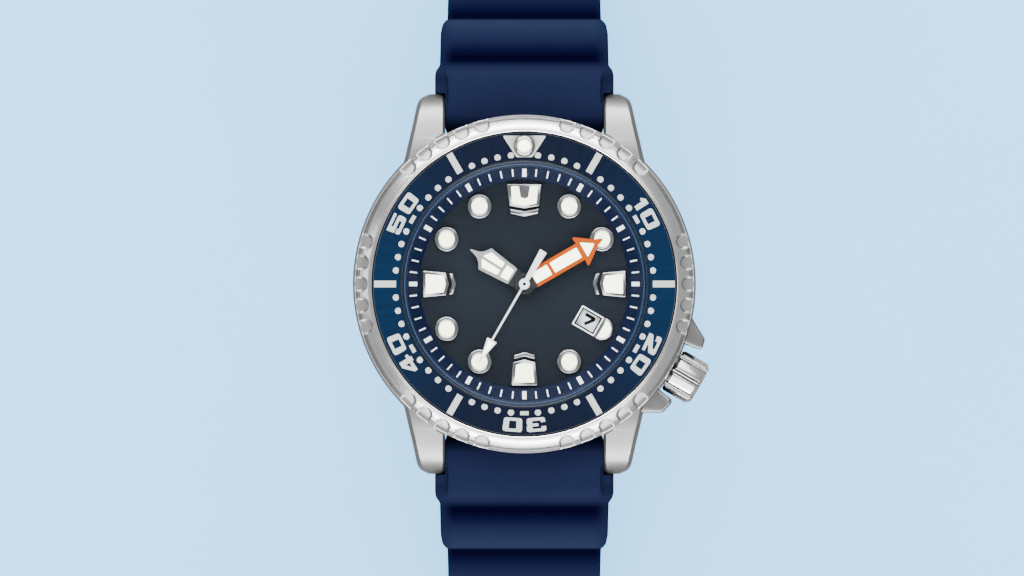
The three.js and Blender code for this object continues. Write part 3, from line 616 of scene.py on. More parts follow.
def lug_section(y, sx, sy):
    outer, inner = lerp_table(LUG_OUT, y), lerp_table(LUG_IN, y)
    top, low = eased_table(LUG_TOP, y), lerp_table(LUG_LOW, y)
    outline = rounded([(inner, low), (outer - 0.2, low), (outer, low + 0.6), (outer, top - 0.75),
                       (outer - 0.5, top - 0.02), (inner + 0.3, top), (inner, top - 0.3)],
                      [0.15, 0.2, 0.3, 0.25, 0.2, 0.1, 0.1], 3)
    return [(x * sx, y * sy, z) for x, z in outline]


lug_stations = [LUG_ROOT + 9.6 * i / 32 for i in range(33)] + [23.9, 24.02, 24.15, 24.27, 24.37, LUG_TIP]
for sx in (-1, 1):
    for sy in (-1, 1):
        lug = make("lug", *loft([lug_section(y, sx, sy) for y in lug_stations]), M["satin"])
        cut(case, lug, "UNION")


def guard_outline(sign):
    """One of the two shoulders beside the crown, drawn for a crown at twelve o'clock."""
    near = 9.4 if sign < 0 else 8.0
    stations = ((near, 20.6), (near, 23.9), (near + 0.9, 24.3), (13.0, 24.25), (15.8, 23.0), (19.5, 21.7),
                (19.5, 20.6))
    return rounded([at_clock(clock * sign, r) for clock, r in stations], [0, 0.15, 0.2, 0.4, 1.5, 0.8, 0], 5)


for sign in (-1, 1):
    guard = spun(prism(guard_outline(sign), 2.4, 7.5, 0.35, 3, both=True), STEM_CLOCK)
    cut(case, make("guard", *guard, M["satin"]), "UNION")


def box_shape(x0, x1, y0, y1, z0, z1):
    return prism([(x0, y0), (x1, y0), (x1, y1), (x0, y1)], z0, z1)


for side in (-1, 1):
    ends = sorted((side * 18.7, side * 27))
    cut(case, make("gap", *box_shape(-10.2, 10.2, *ends, -1, 8.6), M["satin"]))
    cut(case, make("pin", *bar_x(0.5, -11.6, 11.6, side * BAR_Y, BAR_Z, 24), M["satin"]))


def along_stem(verts):
    """Points drawn along +Z, laid outwards along the crown's axis."""
    out = []
    for x, y, z in verts:
        px, py = spin_point(x, z, STEM_CLOCK)
        out.append((px, py, STEM_Z - y))
    return out


verts, faces = prism(disc_outline(1.3, 40), 15, 23)
cut(case, make("bore", along_stem(verts), faces, M["satin"]))
shade(case, 32)
soften(case, 0.09, 2, 40)
place(case, "case", ["mid_case"], "case_steel")

# ---------------------------------------------------------------- case back

back_profile = [
    (0, 0), (13.2, 0), (13.3, 0.06), (13.6, 0.06), (13.7, 0), (16.5, 0), (16.75, 0.08), (17.2, 0.5),
    (17.3, 0.7), (17.3, 1.2), (16.05, 1.2), (16.05, 2.8), (14.8, 2.8), (14.8, 1.2), (0, 1.2),
]
back = make("case_back_cover", *revolve(back_profile, 240), [M["brushed"]])
for i in range(6):
    notch = spun(box_shape(-1.2, 1.2, 14.6, 16.8, -1, 0.5), 30 + 60 * i)
    cut(back, make("notch", *notch, M["polish"]))
shade(back)
soften(back, 0.05)
place(back, "case", ["case_back"], "case_steel")

# ---------------------------------------------------------------- bezel

BEZEL_N = 1440
SCALLOPS = [30 + 60 * g + 7.5 * i for g in range(6) for i in range(-2, 3)]
# the grip's pockets and lip; the slope's outer and inner ends are (radius, height)
POCKET_R = 0.92
POCKET_AT = 21.02
LIP_R = 21.5
SLOPE_OUT = (21.08, 10.15)
SLOPE_IN = (19.75, 11.0)


def pocket_distance(clock, r):
    """How far a point lies from the spine of the nearest pocket, in millimetres."""
    off = min(abs((clock - s + 180) % 360 - 180) for s in SCALLOPS)
    u = math.radians(off) * r
    return u if r > POCKET_AT else math.hypot(u, POCKET_AT - r)


def bezel_height(clock, r):
    """Height of the bezel's upper face: a lip, a step, a broad slope and the grip's scooped pockets."""
    if r > LIP_R:
        base = 9.4 - 0.4 * max(0.0, (r - 21.66) / 0.09) ** 2
    elif r > SLOPE_OUT[0]:
        t = (r - SLOPE_OUT[0]) / (LIP_R - SLOPE_OUT[0])
        base = SLOPE_OUT[1] + (9.3 - SLOPE_OUT[1]) * t**0.6
    elif r > SLOPE_IN[0]:
        t = (r - SLOPE_IN[0]) / (SLOPE_OUT[0] - SLOPE_IN[0])
        base = SLOPE_IN[1] + (SLOPE_OUT[1] - SLOPE_IN[1]) * t**1.25
    else:
        base = SLOPE_IN[1] - 0.35 * ((SLOPE_IN[0] - r) / 0.4) ** 2
    d = pocket_distance(clock, r)
    if d > POCKET_R + 0.1 or r > 21.62:
        return base
    t = ease((d - POCKET_R + 0.12) / 0.2)
    floor = 9.34 + 0.3 * max(0.0, (21.2 - r) / 1.1) ** 1.5
    return min(11.0, floor + (base - floor) * t)


# radii of the rows of the bezel's upper face; the numbers below are places in this list
BEZEL_ROWS = [19.36, 19.42, 19.5, 19.6, 19.75, 19.85, 19.95, 20.0, 20.05, 20.1, 20.15, 20.2, 20.26, 20.34,
              20.44, 20.56, 20.68, 20.8, 20.92, 21.02, 21.08, 21.14, 21.24, 21.34, 21.44, 21.5, 21.58,
              21.66, 21.71, 21.745]
ROW_SLOPE, ROW_STEP, ROW_LIP, ROW_SIDE = 4, 20, 25, 31


def bezel_face(clock, j):
    """Material of a face of the bezel: 0 the slope, 1 polished edges, 2 the pockets and the step, in a darker
    steel that paints shade into them.
    """
    if j < ROW_LIP and pocket_distance(clock, BEZEL_ROWS[j]) < POCKET_R - 0.08:
        return 2
    if ROW_STEP <= j < ROW_LIP:
        return 2
    return 1 if j < ROW_SLOPE or ROW_LIP <= j <= ROW_SIDE else 0


def build_bezel():
    verts, faces, mats = [], [], []
    under = [(21.75, 8.9), (21.75, 8.5), (21.68, 8.3), (21.3, 8.1), (17.1, 8.1), (17.1, 10.25),
             (19.35, 10.25)]
    m = len(BEZEL_ROWS) + len(under)
    for i in range(BEZEL_N):
        clock = 360 * i / BEZEL_N
        column = [(r, bezel_height(clock, r)) for r in BEZEL_ROWS] + under
        verts += [(*at_clock(clock, r), z) for r, z in column]
    for i in range(BEZEL_N):
        k = (i + 1) % BEZEL_N
        for j in range(m):
            l = (j + 1) % m
            faces.append((i * m + j, k * m + j, k * m + l, i * m + l))
            mats.append(bezel_face(360 * (i + 0.5) / BEZEL_N, j))
    make("bezel_grip_ring", verts, faces, [M["bezel"], M["polish"], M["pocket"]], mats, 40,
         "bezel", ["bezel_ring"], "case_steel")


build_bezel()


def insert_z(r):
    """Height of the insert's sloping face."""
    return 11.1 - 0.25 * (r - 15.9) / 3.4


PIP_R = 17.65
insert_profile = [(15.9, 10.3), (19.3, 10.3), (19.3, 10.8), (19.24, insert_z(19.24)),
                  (15.97, insert_z(15.97)), (15.9, 11.03)]
insert_obj = make("blue_bezel_insert", *revolve(insert_profile, 360), M["insert"])
cut(insert_obj, make("pip_hole", *prism(disc_outline(1.39, 48, (0, PIP_R)), 10, 12), M["insert"]))
shade(insert_obj)
place(insert_obj, "bezel", ["bezel_insert"], "insert")

# width of each of the scale's digits, then its outline and the holes in it, in millimetres
GLYPHS = {
    "0": (2.6, [[(0, 0), (2.6, 0), (2.6, 2), (0, 2)],
                [(0.78, 0.42), (1.82, 0.42), (1.82, 1.58), (0.78, 1.58)]]),
    "1": (1.2, [[(0, 1.5), (0.5, 2), (1.2, 2), (1.2, 0), (0.47, 0), (0.47, 1.38), (0.22, 1.2)]]),
    "2": (2.6, [[(0, 1.2), (0, 2), (2.6, 2), (2.6, 1.0), (1.35, 0.42), (2.6, 0.42), (2.6, 0), (0, 0),
                 (0, 0.62), (1.84, 1.28), (1.84, 1.58), (0.76, 1.58), (0.76, 1.2)]]),
    "3": (2.6, [[(0, 1.3), (0, 2), (2.6, 2), (2.6, 1.14), (2.42, 1.0), (2.6, 0.86), (2.6, 0), (0, 0),
                 (0, 0.7), (0.62, 0.7), (0.62, 0.42), (1.84, 0.42), (1.84, 0.8), (1.0, 0.8), (1.0, 1.2),
                 (1.84, 1.2), (1.84, 1.58), (0.62, 1.58), (0.62, 1.3)]]),
    "4": (2.6, [[(1.35, 2), (2.14, 2), (2.14, 0.74), (2.6, 0.74), (2.6, 0.3), (2.14, 0.3), (2.14, 0),
                 (1.42, 0), (1.42, 0.3), (0, 0.3), (0, 0.8)], [(0.72, 0.74), (1.42, 0.74), (1.42, 1.38)]]),
    "5": (2.6, [[(0, 2), (2.5, 2), (2.5, 1.58), (0.74, 1.58), (0.74, 1.28), (2.6, 1.28), (2.6, 0), (0, 0),
                 (0, 0.66), (0.72, 0.66), (0.72, 0.42), (1.86, 0.42), (1.86, 0.84), (0, 0.84)]]),
}
# corner radii: one for each corner where the digit is one outline, else one for each outline
GLYPH_ROUND = {
    "0": [0.42, 0.1],
    "1": [0.08],
    "2": [0, 0.4, 0.4, 0.35, 0.1, 0, 0, 0, 0.25, 0.15, 0.1, 0.1, 0],
    "3": [0, 0.4, 0.4, 0.2, 0, 0.2, 0.4, 0.4, 0, 0, 0.1, 0.1, 0.1, 0, 0, 0.1, 0.1, 0.1, 0],
    "4": [0.06, 0.04],
    "5": [0, 0, 0, 0, 0, 0.4, 0.4, 0.4, 0, 0, 0.1, 0.1, 0.1, 0],
}
GLYPH_WIDE, GLYPH_TALL = 0.93, 0.89


def glyph_solid(glyph, x0, to_world, low, high):
    """One raised digit; to_world maps a flat point and a height to millimetres."""
    loops = []
    for i, loop in enumerate(GLYPHS[glyph][1]):
        radius = GLYPH_ROUND[glyph]
        radius = radius if len(radius) == len(loop) else radius[min(i, len(radius) - 1)]
        loops.append([(x0 + x * GLYPH_WIDE, (y - 1.0) * GLYPH_TALL) for x, y in rounded(loop, radius, 4)])
    flat = [p for loop in loops for p in loop]
    count = len(flat)
    verts = [to_world(p, low) for p in flat] + [to_world(p, high) for p in flat]
    faces = []
    for a, b, c in tessellate_polygon([[Vector((x, y, 0)) for x, y in loop] for loop in loops]):
        faces += [(a, b, c), (count + c, count + b, count + a)]
    start = 0
    for loop in loops:
        for i in range(len(loop)):
            a, b = start + i, start + (i + 1) % len(loop)
            faces.append((a, b, count + b, count + a))
        start += len(loop)
    return verts, faces


# strokes of each digit in a box one wide and one high
DIGITS = {
    "0": [([(0, 0), (1, 0), (1, 1), (0, 1)], True)],
    "1": [([(0.18, 0.8), (0.55, 1), (0.55, 0)], False)],
    "2": [([(0, 1), (1, 1), (1, 0.5), (0, 0.5), (0, 0), (1, 0)], False)],
    "3": [([(0, 1), (1, 1), (1, 0), (0, 0)], False), ([(0.25, 0.5), (0.98, 0.5)], False)],
    "4": [([(0.72, 0), (0.72, 1), (0, 0.3), (1, 0.3)], False)],
    "5": [([(1, 1), (0, 1), (0, 0.5), (1, 0.5), (1, 0), (0, 0)], False)],
    "6": [([(0.95, 1), (0, 1), (0, 0), (1, 0), (1, 0.52), (0, 0.52)], False)],
    "7": [([(0, 1), (1, 1), (0.35, 0)], False)],
    "8": [([(0, 0), (1, 0), (1, 1), (0, 1)], True), ([(0.02, 0.5), (0.98, 0.5)], False)],
    "9": [([(0.05, 0), (1, 0), (1, 1), (0, 1), (0, 0.48), (1, 0.48)], False)],
}


def stroke(points, closed, radius, width, steps=5):
    """Left and right edges of a line with rounded corners, as a list of point pairs."""
    n = len(points)
    path = []
    for i, p in enumerate(points):
        if not closed and i in (0, n - 1):
            path.append(Vector(p))
            continue
        p = Vector(p)
        a, b = Vector(points[i - 1]) - p, Vector(points[(i + 1) % n]) - p
        c = min(radius, a.length * 0.45, b.length * 0.45)
        pa, pb = p + a.normalized() * c, p + b.normalized() * c
        for k in range(steps + 1):
            t = k / steps
            path.append((1 - t) ** 2 * pa + 2 * t * (1 - t) * p + t**2 * pb)
    pairs = []
    m = len(path)
    for i, p in enumerate(path):
        before = path[i - 1] if closed or i > 0 else p
        after = path[(i + 1) % m] if closed or i < m - 1 else p
        d = (after - before).normalized()
        side = Vector((-d.y, d.x)) * width / 2
        pairs.append((p + side, p - side))
    return pairs


def stroke_solid(pairs, closed, to_world, low, high):
    """A raised band from point pairs; to_world maps a flat point and a height to millimetres."""
    sections = []
    for a, b in pairs:
        sections.append([to_world(a, low), to_world(b, low), to_world(b, high), to_world(a, high)])
    return loft(sections, closed)


def number_strokes(text, wide, tall, gap, radius, width):
    """Strokes of a number centred on the origin."""
    out = []
    total = len(text) * wide + (len(text) - 1) * gap
    inner_w, inner_h = wide - width, tall - width
    for i, c in enumerate(text):
        x0 = -total / 2 + i * (wide + gap) + width / 2
        for pts, closed in DIGITS[c]:
            scaled = [(x0 + x * inner_w, -inner_h / 2 + y * inner_h) for x, y in pts]
            out.append((stroke(scaled, closed, radius, width), closed))
    return out


NUMBER_R, MARK_R, TRIANGLE_R = 18.05, 16.5, 17.6
NUMBER_GAP = 0.6
PRINT_RAISE = 0.025


def bezel_number(g, text, clock):
    """A raised number that follows the ring, centred at a clock angle."""

    def to_world(p, h):
        r = NUMBER_R + p[1]
        return (*at_clock(clock + math.degrees(p[0] / NUMBER_R), r), insert_z(r) + h)

    x0 = -(sum(GLYPHS[c][0] for c in text) * GLYPH_WIDE + NUMBER_GAP) / 2
    for c in text:
        g.add(glyph_solid(c, x0, to_world, -0.02, PRINT_RAISE), M["silver"])
        x0 += GLYPHS[c][0] * GLYPH_WIDE + NUMBER_GAP


def bezel_marks():
    """Numbers and dashes at the tens, bars at the fives, dots at the other minutes."""
    g = Group()
    dot_top = insert_z(MARK_R) + PRINT_RAISE
    for clock in range(60, 360, 60):
        bezel_number(g, str(clock // 6), clock)
        dash = box_outline(1.08, 0.5, MARK_R)
        g.add(prism(dash, insert_z(MARK_R) - 0.05, insert_z(16.4) + PRINT_RAISE), M["silver"], clock)
    for minute in range(60):
        if minute % 10 == 5:
            g.add(slope_bar(0.42, (16.4, 17.8, 19.2), insert_z, -0.03, PRINT_RAISE), M["silver"], minute * 6)
        elif minute % 10:
            dot = disc_outline(0.4, 24, (0, MARK_R))
            g.add(prism(dot, insert_z(MARK_R) - 0.04, dot_top), M["silver"], minute * 6)
    g.build("bezel_scale_marks", "bezel", (), "insert")


def bezel_triangle():
    """The triangle at twelve o'clock, lying on the slope, with a hole for the pip."""
    corners = [(-2.85, 19.02), (-1.0, 16.2), (1.0, 16.2), (2.85, 19.02)]
    outer = [(x, min(y, math.sqrt(19.1**2 - x * x))) for x, y in rounded(corners, [0.25, 0.2, 0.2, 0.25], 4)]
    middle = insert_z(TRIANGLE_R)
    verts, faces = prism(outer, middle - 0.14, middle + 0.05)
    verts = [(x, y, insert_z(y) + (0.03 if z > middle else -0.06)) for x, y, z in verts]
    triangle = make("tri", verts, faces, M["silver"])
    cut(triangle, make("tri_hole", *prism(disc_outline(1.38, 48, (0, PIP_R)), 10, 12), M["silver"]))
    place(triangle, "bezel", (), "insert")
    triangle.name = "bezel_triangle"


bezel_triangle()
bezel_marks()

cup = [(0.86, 10.3), (1.34, 10.3), (1.34, 11.12), (1.28, 11.24), (1.14, 11.32), (0.98, 11.26), (0.9, 11.1),
       (0.86, 10.9)]
pearl = [(0, 10.4), (0.85, 10.4), (0.85, 11.02), (0.6, 11.14), (0.3, 11.19), (0, 11.2)]
pip = Group()
pip.add(revolve(cup, 72, (0, PIP_R)), M["rim"])
pip.add(revolve(pearl, 48, (0, PIP_R)), M["lume"])
pip.build("bezel_pip_cup", "bezel", ["bezel_pip"], "lume")

# ---------------------------------------------------------------- crystal, chapter ring, dial

crystal_profile = [
    (0, 9.0), (15.5, 9.0), (15.55, 9.05), (15.55, 10.25), (15.78, 10.4), (15.78, 11.1), (15.74, 11.18),
    (15.34, 11.41), (15.24, 11.465), (15.06, 11.57), (14.98, 11.6), (14.9, 11.6), (0, 11.6),
]
verts, faces = revolve(crystal_profile, 288)


def crystal_face(face):
    """Material of a face of the crystal: 0 clear, 1 the polished slope with its painted reflection, 2 the
    painted highlight line round it.
    """
    radii = [math.hypot(verts[i][0], verts[i][1]) for i in face]
    if 15.2 < min(radii) < 15.3 and max(radii) < 15.4:
        return 2
    return 1 if min(radii) > 14.97 else 0


make("crystal_lens", verts, faces, [M["crystal"], M["crystal_edge"], M["crystal_line"]],
     [crystal_face(f) for f in faces], 14, "case", ["crystal"], "crystal")

seal = [(15.66, 8.76), (16.03, 8.76), (16.03, 10.05), (15.98, 10.1), (15.7, 10.1), (15.66, 10.05)]
make("crystal_seal_ring", *revolve(seal, 288), M["gasket"], None, 35, "case", ["crystal_gasket"], "gasket")


def rehaut_z(r):
    """Height of the chapter ring's sloping face."""
    return 7.05 + (r - 13.4) * (8.95 - 7.05) / (15.2 - 13.4)


chapter = Group()
rehaut = [(13.4, 6.85), (15.5, 6.85), (15.5, 8.95), (15.2, 8.95), (13.4, 7.05)]
chapter.add(revolve(rehaut, 288), M["chapter"])
for minute in range(60):
    half, start = (0.27, 13.75) if minute % 5 == 0 else (0.085, 13.85)
    chapter.add(slope_bar(half, (start, 14.75), rehaut_z, -0.02, 0.02), M["white"], minute * 6)
chapter.build("chapter_scale_ring", "case", ["chapter_ring"], "chapter")

DATE_CLOCK, DATE_R = 120, 9.44
WIN_LONG, WIN_WIDE = 2.6, 2.1
dial = make("dial_face", *revolve([(1.1, 6.4), (15.6, 6.4), (15.6, 6.8), (1.1, 6.8)], 240), M["dial"])
window = spun(prism(box_outline(WIN_WIDE, WIN_LONG, DATE_R), 6, 8), DATE_CLOCK)
cut(dial, make("date_cut", *window, M["dial"]))
shade(dial)
place(dial, "case", ["dial"], "dial")

TOP = 6.8


def frame_ring(outline_out, outline_in, low, high):
    """A flat frame between two outlines with the same number of points."""
    edges = ((outline_out, low), (outline_out, high), (outline_in, high), (outline_in, low))
    return loft([[(x, y, z) for x, y in outline] for outline, z in edges], closed=True)


date_frame = Group()
FRAME_STEPS = [((2.74, 3.22), (2.42, 2.9), "white", 0.06), ((2.42, 2.9), (2.0, 2.48), "black", 0.07)]
for (w0, t0), (w1, t1), key, high in FRAME_STEPS:
    ring = frame_ring(box_outline(w0, t0, DATE_R), box_outline(w1, t1, DATE_R), TOP - 0.3, TOP + high)
    date_frame.add(ring, M[key], DATE_CLOCK)
date_frame.build("date_frame", "case", (), "dial")

# applied hour blocks: steel with a luminous filling
MARK_TOP = 7.2
BLOCK_R = 11.52  # distance of the round blocks from the middle
blocks = Group()


def round_block(clock):
    rim = [(0.98, TOP - 0.1), (1.58, TOP - 0.1), (1.58, MARK_TOP - 0.12), (1.53, MARK_TOP - 0.04),
           (1.44, MARK_TOP), (1.16, MARK_TOP - 0.01), (1.03, MARK_TOP - 0.09)]
    blocks.add(revolve(rim, 56, (0, BLOCK_R)), M["rim"], clock)
    fill = [(0, TOP), (1.0, TOP), (1.0, MARK_TOP - 0.12), (0.8, MARK_TOP - 0.09), (0.4, MARK_TOP - 0.07),
            (0, MARK_TOP - 0.06)]
    blocks.add(revolve(fill, 48, (0, BLOCK_R)), M["lume"], clock)


def bevelled_block(outline, clock, rim=0.3, fill=True, corner=0.12):
    rings = [(0, TOP - 0.1), (0, MARK_TOP - 0.14), (0.06, MARK_TOP - 0.04), (0.13, MARK_TOP)]
    sections = [[(x, y, z) for x, y in rounded(inset(outline, k), corner, 3)] for k, z in rings]
    blocks.add(loft(sections), M["rim"], clock)
    if fill:
        filling = rounded(inset(outline, rim), corner, 3)
        blocks.add(prism(filling, MARK_TOP - 0.1, MARK_TOP + 0.03), M["lume"], clock)


for hour in (1, 2, 5, 7, 8, 10, 11):
    round_block(hour * 30)
# the block at the date is a disc cut off straight by the window
turns = [math.radians(a) for a in range(-104, 105, 8)]
d_shape = [(1.5 * math.sin(a), BLOCK_R + 1.5 * math.cos(a)) for a in turns]
bevelled_block([(x, y) for x, y in d_shape if y > 11.15], DATE_CLOCK, 0.34, corner=0.05)
for hour in (3, 6, 9):
    blade = [(-1.48, 10.0), (0, 9.62), (1.48, 10.0), (1.78, 13.1), (-1.78, 13.1)]
    bevelled_block(blade, hour * 30, 0.46)
    chevron = [(-1.42, 9.72), (0, 9.34), (1.42, 9.72), (1.34, 9.1), (0, 8.7), (-1.34, 9.1)]
    bevelled_block(chevron, hour * 30, fill=False, corner=0.05)
bevelled_block([(-1.95, 10.0), (0, 9.66), (1.95, 10.0), (2.3, 12.9), (-2.3, 12.9)], 0, 0.3, fill=False)
u_left = [(0, 10.02), (0, 10.95), (-0.5, 11.1), (-0.72, 12.55), (-1.72, 12.55), (-1.56, 10.34)]
for side in (1, -1):
    leg = rounded([(x * side, y) for x, y in u_left][::side], [0.01, 0.01, 0.2, 0.1, 0.1, 0.15][::side], 3)
    blocks.add(prism(leg, MARK_TOP - 0.1, MARK_TOP + 0.035), M["lume"], 0)
chevron = [(-1.92, 9.72), (0, 9.36), (1.92, 9.72), (1.8, 9.0), (0, 8.6), (-1.8, 9.0)]
bevelled_block(chevron, 0, fill=False, corner=0.05)
blocks.build("applied_hour_blocks", "case", (), "dial")

# ---------------------------------------------------------------- date ring with its numbers

DATE_DAYS, DATE_SHOWN = 31, 7
DATE_TOP = 6.05


def date_teeth():
    """The disc's inner edge: 31 teeth."""
    points = []
    for i in range(DATE_DAYS):
        a, b = 2 * math.pi * i / DATE_DAYS, 2 * math.pi * (i + 0.5) / DATE_DAYS
        for r, at in ((7.5, a), (7.85, (a + b) / 2), (7.85, b), (7.85, b + 0.05)):
            points.append((r * math.cos(at), r * math.sin(at)))
    return points


date = Group()
teeth = date_teeth()
rim = [(11.15 * math.cos(math.atan2(y, x)), 11.15 * math.sin(math.atan2(y, x))) for x, y in teeth]
date.add(frame_ring(rim, teeth, 5.8, DATE_TOP), M["white"])
for day in range(1, DATE_DAYS + 1):
    clock = DATE_CLOCK + (DATE_SHOWN - day) * 360 / DATE_DAYS

    def to_world(p, h, clock=clock):
        return (*spin_point(-p[1], DATE_R + p[0], clock), DATE_TOP + h)

    text = str(day)
    wide = 1.85 if len(text) == 1 else 0.92
    for pairs, closed in number_strokes(text, wide, 1.62, 0.15, 0.32, 0.44):
        date.add(stroke_solid(pairs, closed, to_world, -0.01, 0.02), M["black"])
date.build("date_number_ring", "date", ["date_disc"], "date_white")

# ---------------------------------------------------------------- hands

HOUR, MINUTE, SECOND = 302.6, 60, 210


def hub(r_out, r_in, low, high):
    return revolve([(r_in, low), (r_out, low), (r_out, high - 0.05), (r_out - 0.06, high), (r_in, high)], 48)


def add_cells(hand, cells, radius, low, high, clock):
    """The luminous cells of a hand."""
    for cell in cells:
        hand.add(prism(rounded(cell, radius, 3), low, high, 0.02, 1), M["lume"], clock)


hour = Group()
blade = both_sides([(1.0, 0.9), (1.25, 2.3), (1.62, 6.0), (0.78, 6.55), (0.4, 7.1), (0.07, 8.24)])
hour.add(prism(blade, 7.3, 7.56, 0.07, 1), M["hand"], HOUR)
hour_cells = [
    [(-0.9, 3.55), (-0.18, 3.55), (-0.18, 6.4), (-0.6, 6.1), (-1.14, 5.75)],
    [(0.18, 3.55), (0.9, 3.55), (1.14, 5.75), (0.6, 6.1), (0.18, 6.4)],
    both_sides([(0.76, 2.05), (0.86, 3.15)]),
]
add_cells(hour, hour_cells, 0.1, 7.5, 7.6, HOUR)
hour.add(hub(1.35, 0.87, 7.3, 7.58), M["hub"], HOUR)
hour.add(prism(both_sides([(1.12, 0.95), (1.16, 1.8)]), 7.5, 7.59, 0.02, 1), M["hub"], HOUR)
turns = [math.radians(-9 * k) for k in range(21)]
arc = [(0.9 * math.cos(a), 0.9 * math.sin(a)) for a in turns]
hour.add(prism([(-1.12, 0), (-1.12, -1.35), (1.12, -1.35), (1.12, 0), *arc], 7.34, 7.59), M["hub"], HOUR)
hour.build("hour_hand_blade", "hour", ["hour_hand"], "hand_steel")

minute = Group()
blade = both_sides([(1.2, 1.2), (1.2, 8.3), (2.02, 8.2), (2.02, 8.5), (0.42, 10.7), (0.12, 11.55)])
minute.add(prism(blade, 7.85, 8.1, 0.05, 1), M["orange"], MINUTE)
minute_cells = [both_sides(right) for right in ([(0.72, 4.15), (0.72, 8.1)], [(0.72, 1.4), (0.72, 3.7)],
                                                [(1.06, 8.78), (0.1, 10.25)])]
add_cells(minute, minute_cells, 0.08, 8.05, 8.13, MINUTE)
minute.add(hub(1.25, 0.57, 7.85, 8.12), M["hub"], MINUTE)
minute.add(prism(both_sides([(1.13, 0.62), (1.13, 1.36)]), 8.04, 8.13, 0.02, 1), M["hub"], MINUTE)
minute.build("minute_hand_blade", "minute", ["minute_hand"], "orange_paint")

second = Group()
needle = both_sides([(0.5, -4.87), (0.28, -0.4), (0.14, 0.4), (0.12, 8.25), (0.7, 8.3), (0.12, 11.0),
                     (0.07, 11.6)])
second.add(prism(needle, 8.4, 8.6, 0.03, 1), M["second"], SECOND)
second.add(prism(both_sides([(0.42, 8.5), (0.1, 10.7)]), 8.56, 8.63), M["lume"], SECOND)
collar = [(0.22, 8.4), (0.7, 8.4), (0.7, 8.72), (0.62, 8.8), (0.3, 8.82), (0.22, 8.78)]
second.add(revolve(collar, 40), M["second"], SECOND)
second.add(prism(disc_outline(0.21, 24), 8.655, 8.7), M["black"])
second.build("second_hand_blade", "seconds", ["second_hand"], "hand_steel")

# ---------------------------------------------------------------- crown


CROWN_FULL, CROWN_BORE = 2.95, 1.5
CROWN_LOBE = [(0, 2.7), (1.6, 2.68), (2.3, 2.34), (4.3, 2.34), (5.4, 2.7), (7.6, 2.88), (11, 2.94),
              (22.5, CROWN_FULL)]
# distance from the watch's middle, and the share of the full radius there
CROWN_STATIONS = [(22.0, 0.92), (22.12, 0.95), (22.3, 1.0), (25.4, 1.0), (25.5, 0.985), (25.7, 0.925),
                  (25.95, 0.85), (26.05, 0.81)]


def crown_radius(a):
    """Lobed outline: eight broad lobes, and in each groove a narrow rib."""
    t = (math.degrees(a) % 45) / 45
    return lerp_table(CROWN_LOBE, min(t, 1 - t) * 45)


def build_crown():
    n = 360

    def circle(r, z):
        return [(x, y, z) for x, y in disc_outline(r, n)]

    sections = [circle(CROWN_BORE, 24.4), circle(CROWN_BORE, 22.0)]
    for z, k in CROWN_STATIONS:
        ring = []
        for i in range(n):
            a = 2 * math.pi * i / n
            r = min(crown_radius(a), CROWN_FULL * k)
            ring.append((r * math.cos(a), r * math.sin(a), z))
        sections.append(ring)
    sections += [circle(2.25, 26.05), circle(2.1, 26.0), circle(1.9, 25.94)]
    verts, faces = loft(sections)
    obj = make("crown_grip", along_stem(verts), faces, M["crown"], None, 25)
    place(obj, "crown", ["crown"], "case_steel")


build_crown()

# ---------------------------------------------------------------- strap

START, STEEP = math.radians(8), math.radians(50)
DOWN_R, BACK_R = 18.0, 30.0
SHORT_END, LONG_END = 91.4, 141.4
DOWN_LEN, BACK_LEN = DOWN_R * (STEEP - START), BACK_R * STEEP
DOWN_Y = BAR_Y + DOWN_R * (math.sin(STEEP) - math.sin(START))
DOWN_Z = BAR_Z - DOWN_R * (math.cos(START) - math.cos(STEEP))
FLAT_Y = DOWN_Y + BACK_R * math.sin(STEEP)
FLAT_Z = DOWN_Z - BACK_R * (1 - math.cos(STEEP))


def strap_path(s):
    """Centre line point and downward slope at a length from the spring bar."""
    if s < DOWN_LEN:
        a = START + s / DOWN_R
        y = BAR_Y + DOWN_R * (math.sin(a) - math.sin(START))
        return y, BAR_Z - DOWN_R * (math.cos(START) - math.cos(a)), a
    if s < DOWN_LEN + BACK_LEN:
        a = STEEP - (s - DOWN_LEN) / BACK_R
        y = DOWN_Y + BACK_R * (math.sin(STEEP) - math.sin(a))
        return y, DOWN_Z - BACK_R * (math.cos(a) - math.cos(STEEP)), a
    return FLAT_Y + s - DOWN_LEN - BACK_LEN, FLAT_Z, 0.0


RIDGES = [28.1, 34.1, 40.5, 46.7]
# half the strap's width, by distance from the watch's middle
HALF = [(19.0, 9.0), (19.2, 9.65), (19.5, 10.0), (20.0, 10.17), (23.4, 10.17), (24.1, 10.5), (24.4, 10.9),
        (24.7, 11.25), (25.1, 11.5), (27.1, 11.5), (27.6, 11.35), (28.0, 11.05), (28.4, 10.88), (28.9, 10.88),
        (32.6, 10.8), (33.6, 10.6), (34.0, 10.3), (34.3, 10.0), (34.8, 9.95), (39.6, 9.85), (40.3, 9.65),
        (40.6, 9.5), (46.2, 9.4), (46.9, 9.25), (52, 9.2), (60, 9.0)]
WING_INNER = 10.1
END_R = 2.25  # radius of the strap's rounded end about the spring bar


def ridge_height(y):
    """Height of the ribbed face over the centre line, by how far out the face lies."""
    plain = 2.3 - 0.7 * ease((y - 46) / 18)
    if y < 24.0 or y > 48.0:
        return plain
    if y < 28.0:
        return smooth_table([(24.0, plain), (27.0, plain + 0.3), (28.0, plain + 0.1)], y)
    for i, (a, b) in enumerate(zip(RIDGES, RIDGES[1:])):
        if y < b + 0.1:
            k = (1.0, 0.9, 0.6)[i]
            return smooth_table([(a - 0.1, plain + 0.1), (a + 1.0, plain - 0.85 * k),
                                 (b - 0.5, plain + 0.35 * k), (b - 0.1, plain + 0.3 * k),
                                 (b + 0.1, plain + 0.1)], y)
    return plain


